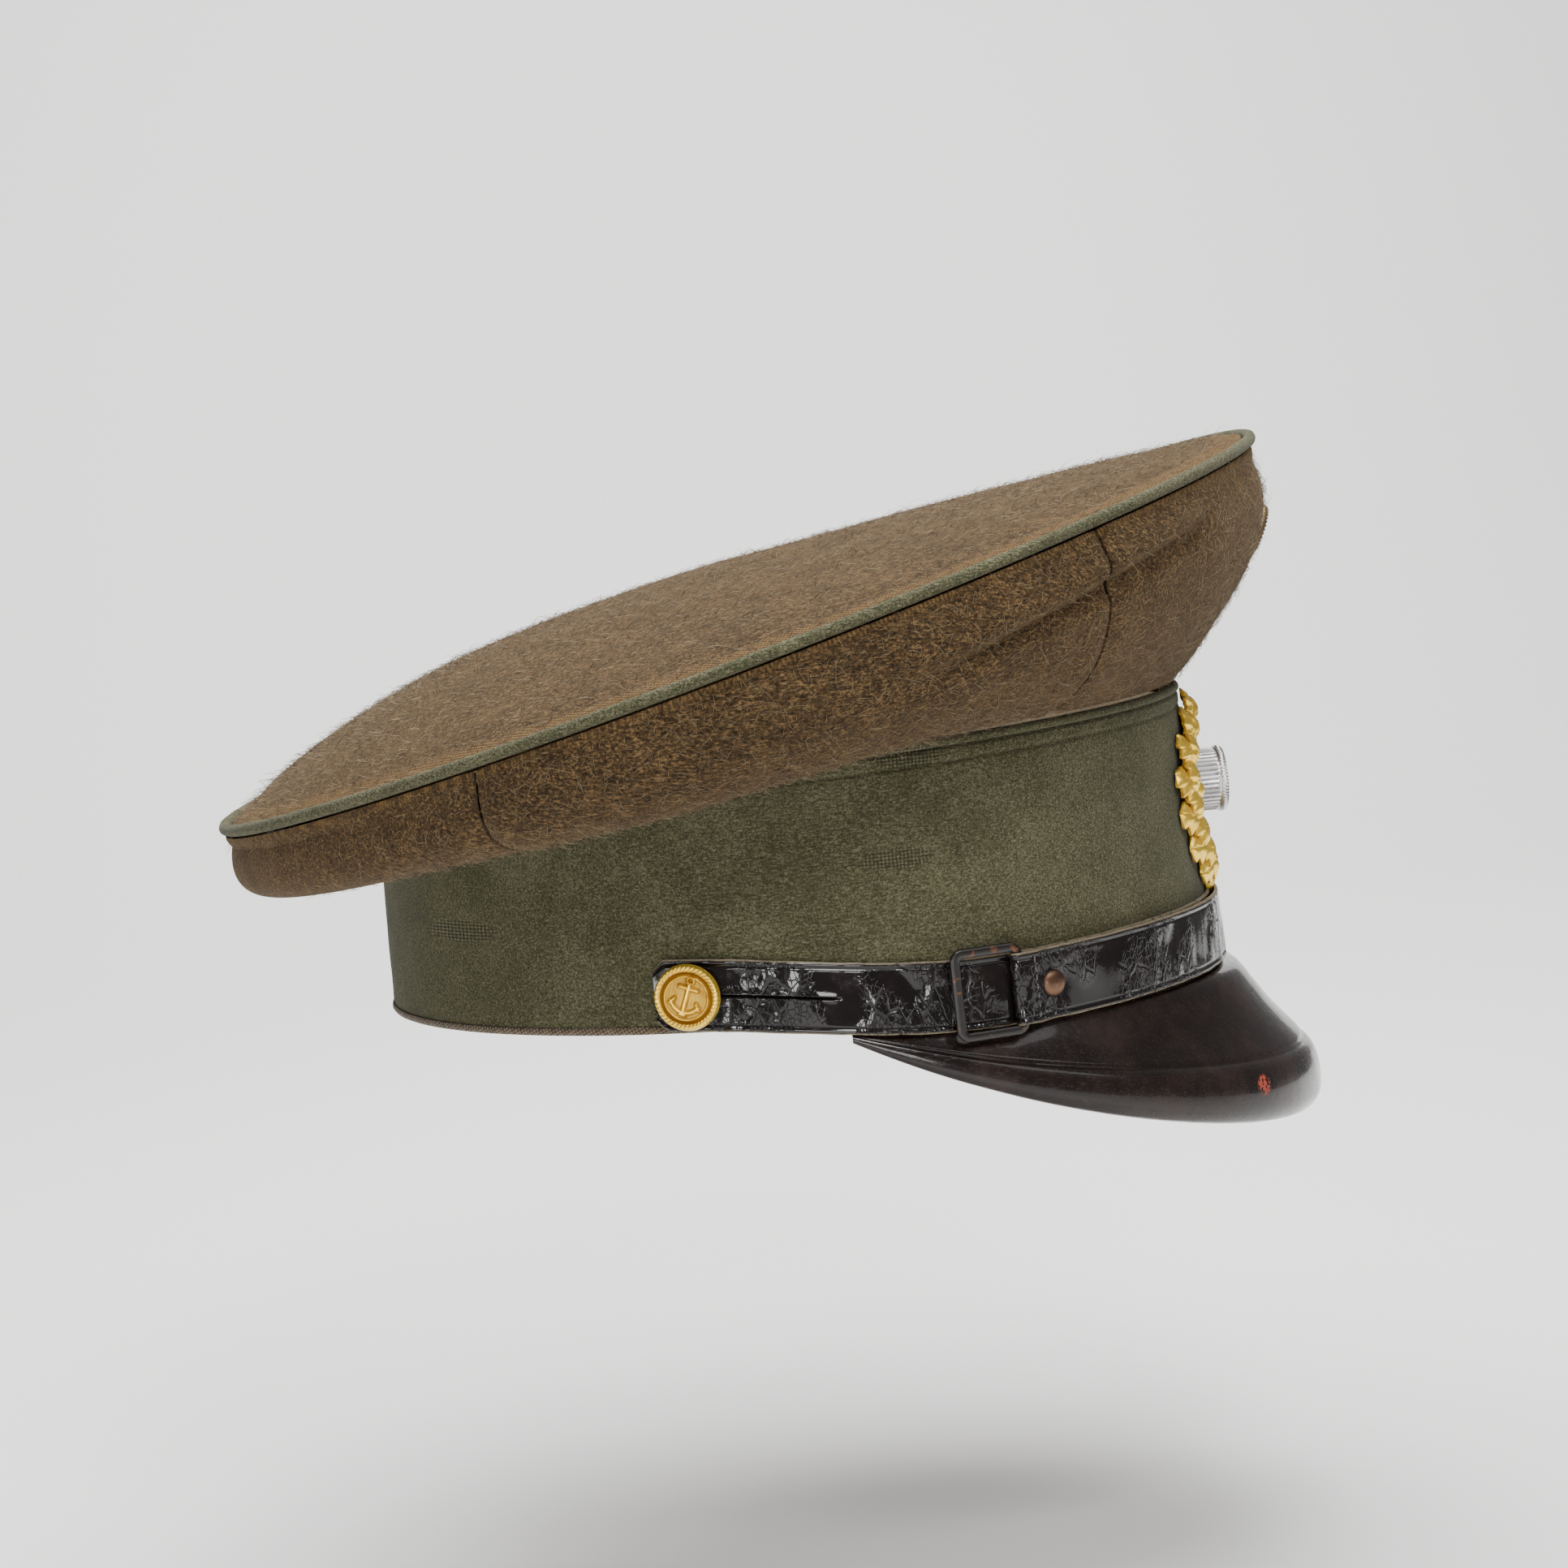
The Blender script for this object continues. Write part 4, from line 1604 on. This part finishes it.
@dataclass
class Emblems:
    """The leafy wreath with its cockade, and the round badge on the crown, all of plain patterns.

    The leaves stand wider and higher than the CAD's wreath, and two acorns cover the heads of its pins.
    """

    wreath_z: float = 38.9
    half: tuple[float, float] = (30.0, 21.1)
    cup_radius: float = 8.5
    acorn_across: float = 17.0

    def build(self) -> None:
        """Makes the wreath, the cockade and the badge."""
        self.wreath()
        self.cockade()
        self.badge()

    def at(self, across: Array, up: Array, off: Array) -> Array:
        """Point of the band's front at a distance across: its angle is the arcsine of across over the half width."""
        phi = np.degrees(np.arcsin(np.clip(across / SHAPE.band_half[1], -1, 1)))
        return SHAPE.band_point(phi, off, self.wreath_z + up)

    def leaf(self, build: Build, angle: float, lean: float, length: float, width: float, lift: float) -> None:
        """Adds a lobed leaf: half width is sin(pi u) with ripples, domed across, with a sunk rib.

        Args:
            build: Takes the leaf.
            angle: Its foot's place round the ring.
            lean: Its turn from the ring's own direction, outwards.
            length: Its length.
            width: Its half width.
            lift: Its height off the band.
        """
        u = np.linspace(0.0, 1, 30)[:, None]
        v = np.linspace(-1, 1, 15)[None]
        lobes = 1 + 0.24 * np.cos(u * 2 * np.pi * 3.5 + 0.6)
        half = width * (np.sin(np.pi * u.clip(0.02, 0.985)) ** 0.62) * lobes * (0.72 + 0.5 * u)
        a = math.radians(angle)
        sign = 1 if math.cos(a) > 0 else -1
        foot = np.array([self.half[0] * math.cos(a), self.half[1] * math.sin(a)])
        way = np.array([-self.half[0] * math.sin(a), self.half[1] * math.cos(a)]) * sign
        way = way / np.linalg.norm(way)
        turn = -math.radians(lean) * sign
        way = np.array([way[0] * math.cos(turn) - way[1] * math.sin(turn),
                        way[0] * math.sin(turn) + way[1] * math.cos(turn)])
        side = np.array([-way[1], way[0]])
        across = foot[0] + way[0] * length * (u - 0.1) + side[0] * half * v
        up = foot[1] + way[1] * length * (u - 0.1) + side[1] * half * v
        dome = 1.6 * (1 - v * v) * np.sin(np.pi * (0.15 + 0.7 * u)) - 0.38 * np.exp(-((v / 0.13) ** 2))
        veins = 0.16 * np.cos((u * 9 - np.abs(v) * 1.2) * 2 * np.pi) * (1 - np.abs(v))
        curl = 1.2 * np.sin(np.pi * u) - 0.5 * u
        off = lift + dome + veins + curl
        outer = self.at(across, up, off)
        inner = self.at(across, up, np.maximum(off - 0.6, 0.45))
        hollow = smooth(dome + veins, 0.55, -0.2) * 0.9
        build.slab(outer, inner, hollow=hollow)

    def wreath(self) -> None:
        """The ring of overlapping leaves in two branches from a tied foot, over a bent stem."""
        build = Build("wreath_leaves")
        a = np.radians(np.linspace(-243, 63, 120))
        path = self.at(self.half[0] * np.cos(a), self.half[1] * np.sin(a), np.full_like(a, 1.0))
        phi = np.degrees(np.arcsin(self.half[0] * np.cos(a) / SHAPE.band_half[1]))
        ahead = unit(np.gradient(path, axis=0))
        out = SHAPE.band_out(phi)
        build.closed(tube(path, unit(np.cross(ahead, out)), out, 1.1, 12), hollow=np.full((120, 12), 0.7))
        for mirror in (False, True):
            for k, angle in enumerate(np.linspace(-78, 56, 8)):
                place = 180 - angle if mirror else angle
                grow = 1 - 0.22 * k / 7
                for lean, lift, size in ((40, 0.9, 1.05), (-32, 1.0, 0.85), (2, 2.1, 0.95)):
                    self.leaf(build, place + (3 if lean == 2 else 0) * (-1 if mirror else 1), lean, 11.4 * size * grow,
                              4.0 * size * grow, lift)
        for sign in (-1, 1):
            t = np.linspace(0, 1, 40)
            loop = self.at(sign * (0.6 + 5.2 * np.sin(np.pi * t)),
                           -self.half[1] + 0.2 + 2.4 * np.sin(2 * np.pi * t) * 0.8,
                           2.6 + 0.7 * np.sin(np.pi * t))
            ahead = unit(np.gradient(loop, axis=0))
            out = np.tile(SHAPE.band_out(0.0), (40, 1))
            build.closed(tube(loop, unit(np.cross(ahead, out)), out, 0.62, 10), hollow=np.full((40, 10), 0.3))
            tail = self.at(sign * (0.6 + 3.8 * t), -self.half[1] - 0.5 - 4.6 * t, 2.4 - 0.9 * t)
            ahead = unit(np.gradient(tail, axis=0))
            build.closed(tube(tail, unit(np.cross(ahead, out)), out, 0.8 - 0.25 * t, 10), hollow=np.full((40, 10), 0.3))
            phi = sign * math.degrees(math.asin(self.acorn_across / SHAPE.band_half[1]))
            u = np.linspace(0, 1, 26)
            acorn = np.where(u < 0.55, 2.5, 2.75) * np.sin(np.pi * u.clip(0.02, 0.98)) ** 0.5
            Seat.on_band(phi, 0.2, self.wreath_z - 0.6).turned(build, acorn, 3.3 * (1 - u), 32)
            stalk = self.at(sign * np.linspace(self.acorn_across, self.half[0] - 2, 30), -0.6 - 1.2 * t[:30],
                            1.2 + 0 * t[:30])
            ahead = unit(np.gradient(stalk, axis=0))
            out = np.tile(SHAPE.band_out(phi), (30, 1))
            build.closed(tube(stalk, unit(np.cross(ahead, out)), out, 0.8, 10), hollow=np.full((30, 10), 0.4))
        a = np.linspace(0, np.pi, 16)
        knot = Seat(self.at(np.array(0.0), np.array(-self.half[1]), np.array(2.6)), np.array([0.0, 1.0, 0.0]), UP,
                    SHAPE.band_out(0.0))
        knot.turned(build, 1.5 * np.sin(a) + 0.01, 1.1 * np.cos(a), 20)
        build.finish(Stuff.GILT, replaces=["wreath"], slot="gilt", smooth_angle=50)

    def cockade(self) -> None:
        """The cup, turned with a fluted wall and a notched lip, and the dark dome in it."""
        seat = Seat.on_band(0.0, 0.8, self.wreath_z)
        theta = np.linspace(0, 2 * np.pi, 240, endpoint=False)[None]
        r = self.cup_radius
        profile = curve([[0.02, 0.0], [r - 0.6, 0.0], [r - 0.25, 0.5], [r - 0.5, 1.2], [r - 0.5, 6.9], [r - 0.15, 7.5],
                         [r - 0.05, 8.4], [r - 0.5, 9.1], [r - 1.3, 9.15], [r - 1.75, 8.4], [r - 1.8, 5.2],
                         [4.0, 5.0], [0.02, 5.0]], 110)
        radius, height = profile[:, :1], profile[:, 1:]
        wall = smooth(radius, r - 1.2, r - 0.55) * smooth(height, 0.6, 1.4) * smooth(height, 7.1, 6.5)
        lip = smooth(height, 7.3, 8.0) * smooth(radius, r - 1.9, r - 1.2)
        radius = radius + wall * 0.16 * np.cos(theta * 40) + lip * 0.09 * np.cos(theta * 60)
        height = height + lip * 0.1 * np.cos(theta * 60)
        cup = Build("cockade_fluted_cup")
        seat.turned(cup, radius, height + 0 * theta, 240, hollow=wall * (0.35 - 0.45 * np.cos(theta * 40)))
        cup.finish(Stuff.SILVER, replaces=["cockade_cup"], slot="silver")
        dome = Build("cockade_dark_dome")
        profile = curve([[0.02, 0], [6.4, 0], [6.3, 0.9], [4.9, 2.1], [2.7, 2.95], [0.02, 3.2]], 50)
        Seat.on_band(0.0, 5.9, self.wreath_z).turned(dome, profile[:, 0], profile[:, 1], 96)
        dome.finish(Stuff.LACQUER, replaces=["cockade_dome"], slot="dark_enamel")

    def badge(self) -> None:
        """The round badge: a beaded rim, a ring and a rosette of petals, as a height over the disc."""
        seat = Seat.on_front(0.62, -0.8)
        theta = np.linspace(0, 2 * np.pi, 240, endpoint=False)[None]
        r = np.linspace(0.02, 6.5, 70)[:, None]
        petals = 0.5 * np.abs(np.cos(theta * 6)) ** 0.6 * smooth(r, 0.8, 1.8) * smooth(r, 4.4, 3.4)
        h = 1.1 + 0.5 * np.sqrt((1 - (r / 5.0) ** 2).clip(0)) + petals + 0.3 * np.exp(-(((r - 4.9) / 0.2) ** 2))
        beads = 0.22 * np.cos(theta * 36) * smooth(r, 5.4, 5.8) * smooth(r, 6.5, 6.2)
        h = h + beads + 0.25 * smooth(r, 5.3, 5.7) - 0.9 * smooth(r, 6.1, 6.5) + 0.4 * np.exp(-((r / 0.7) ** 2))
        back_r, back_h = np.array([6.3, 0.02])[:, None] + 0 * theta, np.zeros((2, 1)) + 0 * theta
        build = Build("crown_badge_round")
        hollow = smooth(h, 1.9, 1.1) * 0.8
        seat.turned(build, np.concatenate([r + 0 * theta, back_r]), np.concatenate([h, back_h]), 240,
                    hollow=np.concatenate([hollow, back_h * 0]))
        build.finish(Stuff.BADGE, replaces=["top_badge"], slot="badge_bronze", smooth_angle=60)


# ------------------------------------------------------------------ kept CAD parts and the studio


@dataclass
class Fittings:
    """The hidden CAD parts whose shape is already right, which only take a finish."""

    finishes: dict[str, Stuff] = field(default_factory=lambda: {
        "crown_wire": Stuff.STEEL, "wire_ferrule": Stuff.GILT_BACK, "front_stay": Stuff.FIBREBOARD,
        "band_stiffener": Stuff.FIBREBOARD, "moisture_shield": Stuff.SHIELD, "button_shank_right": Stuff.GILT_BACK,
        "button_shank_left": Stuff.GILT_BACK, "button_pin_right": Stuff.STEEL, "button_pin_left": Stuff.STEEL,
        "button_washer_right": Stuff.STEEL, "button_washer_left": Stuff.STEEL, "wreath_pins": Stuff.GILT_BACK,
        "wreath_washers": Stuff.STEEL, "top_badge_pins": Stuff.STEEL, "top_badge_washers": Stuff.STEEL})

    def build(self) -> None:
        """Puts one finish on each node's mesh."""
        for node, stuff in self.finishes.items():
            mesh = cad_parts[node].data
            mesh.materials.clear()
            mesh.materials.append(stuff.material)
            log.info("%s: %s", node, stuff.value.name)


@dataclass
class Studio:
    """Pale floor and sweep, soft lights and the camera. Lengths are in millimetres and angles in degrees."""

    distance: float = 801.771
    elevation: float = 5.55
    azimuth: float = -3.995
    roll: float = -4.85
    aim: tuple[float, float, float] = (-1.053, 0.0, 47.63)
    lens: float = 71.83
    floor_z: float = -150.0
    paper: Colour = (0.9, 0.9, 0.89)
    lights: tuple[tuple[str, tuple[float, float, float], float, float], ...] = (
        ("key", (200.0, -780.0, 820.0), 330.0, 7.4),
        ("over", (0.0, 60.0, 1000.0), 900.0, 19.0),
        ("fill", (700.0, -600.0, 800.0), 500.0, 2.0),
        ("low", (-500.0, -900.0, -60.0), 240.0, 2.0),
        ("glint", (40.0, -1000.0, -10.0), 200.0, 1.8))
    washes: tuple[tuple[str, tuple[float, float, float], float, float], ...] = (
        ("sweep_wash", (0.0, 900.0, 1900.0), 1800.0, 70.0),)

    def build(self) -> None:
        """Makes the stage, lights, world and camera."""
        self.stage()
        self.light()
        self.camera()

    def stage(self) -> None:
        """The floor and the sweep behind it: one sheet whose height is 0 and then a quarter circle upwards."""
        x = np.linspace(-950, 1050, 24)[:, None]
        s = np.linspace(0, 1, 60)[None]
        bend = np.clip((s - 0.55) / 0.2, 0, 1) * np.pi / 2
        y = -600 + 1700 * np.minimum(s / 0.55, 1) + 800 * np.sin(bend)
        z = self.floor_z + 800 * (1 - np.cos(bend)) + 6000 * np.clip(s - 0.75, 0, 1)
        build = Build("studio_floor")
        top = stack(x, y + 0 * x, z + 0 * x)
        build.slab(top, top - np.array([0, 0, 8.0]))
        floor = Paint("studio_paper", Base_Color=self.paper, Roughness=0.9, Specular_IOR_Level=0.1).material
        made = build.finish(body="")
        made.data.materials.append(floor)

    def light(self) -> None:
        """Square area lights turned to the cap, and an even pale surround."""
        aims = [(0, 0, 40)] * len(self.lights) + [(0, 2300, 200)] * len(self.washes)
        for (name, place, size, power), aim in zip(self.lights + self.washes, aims):
            data = bpy.data.lights.new(name, "AREA")
            data.energy, data.size = power, size * MM
            lamp = bpy.data.objects.new(name, data)
            lamp.location = Vector(place) * MM
            lamp.rotation_euler = (Vector(aim) * MM - lamp.location).to_track_quat("-Z", "Y").to_euler()
            bpy.context.scene.collection.objects.link(lamp)
        world = bpy.data.worlds.new("surround")
        world.use_nodes = True
        world.node_tree.nodes["Background"].inputs["Color"].default_value = (1, 1, 1, 1)
        world.node_tree.nodes["Background"].inputs["Strength"].default_value = 0.22
        bpy.context.scene.world = world

    def camera(self) -> None:
        """The camera: back along its own axis from the aim, rolled about it."""
        e, a, roll = (math.radians(v) for v in (self.elevation, self.azimuth, self.roll))
        back = Vector((math.sin(a) * math.cos(e), -math.cos(a) * math.cos(e), math.sin(e)))
        right = Vector((math.cos(a), math.sin(a), 0))
        up = back.cross(right)
        across = right * math.cos(roll) + up * math.sin(roll)
        over = up * math.cos(roll) - right * math.sin(roll)
        data = bpy.data.cameras.new("camera")
        data.lens, data.sensor_width, data.clip_start, data.clip_end = self.lens, 36.0, 0.01, 20.0
        made = bpy.data.objects.new("camera", data)
        turn = Matrix((across, over, back)).transposed().to_4x4()
        made.matrix_world = Matrix.Translation((Vector(self.aim) + back * self.distance) * MM) @ turn
        bpy.context.scene.collection.objects.link(made)
        bpy.context.scene.camera = made


def main() -> None:
    """Builds the cap in order."""
    logging.basicConfig(level=logging.INFO, format="%(name)s %(message)s")
    for part in (Crown(), Nap(), Band(), Visor(), Strap(), Button(-1, "right"), Button(1, "left"), Emblems(),
                 Fittings(), Studio()):
        part.build()
        log.info("%s done", type(part).__name__)


if __name__ == "__main__":
    main()
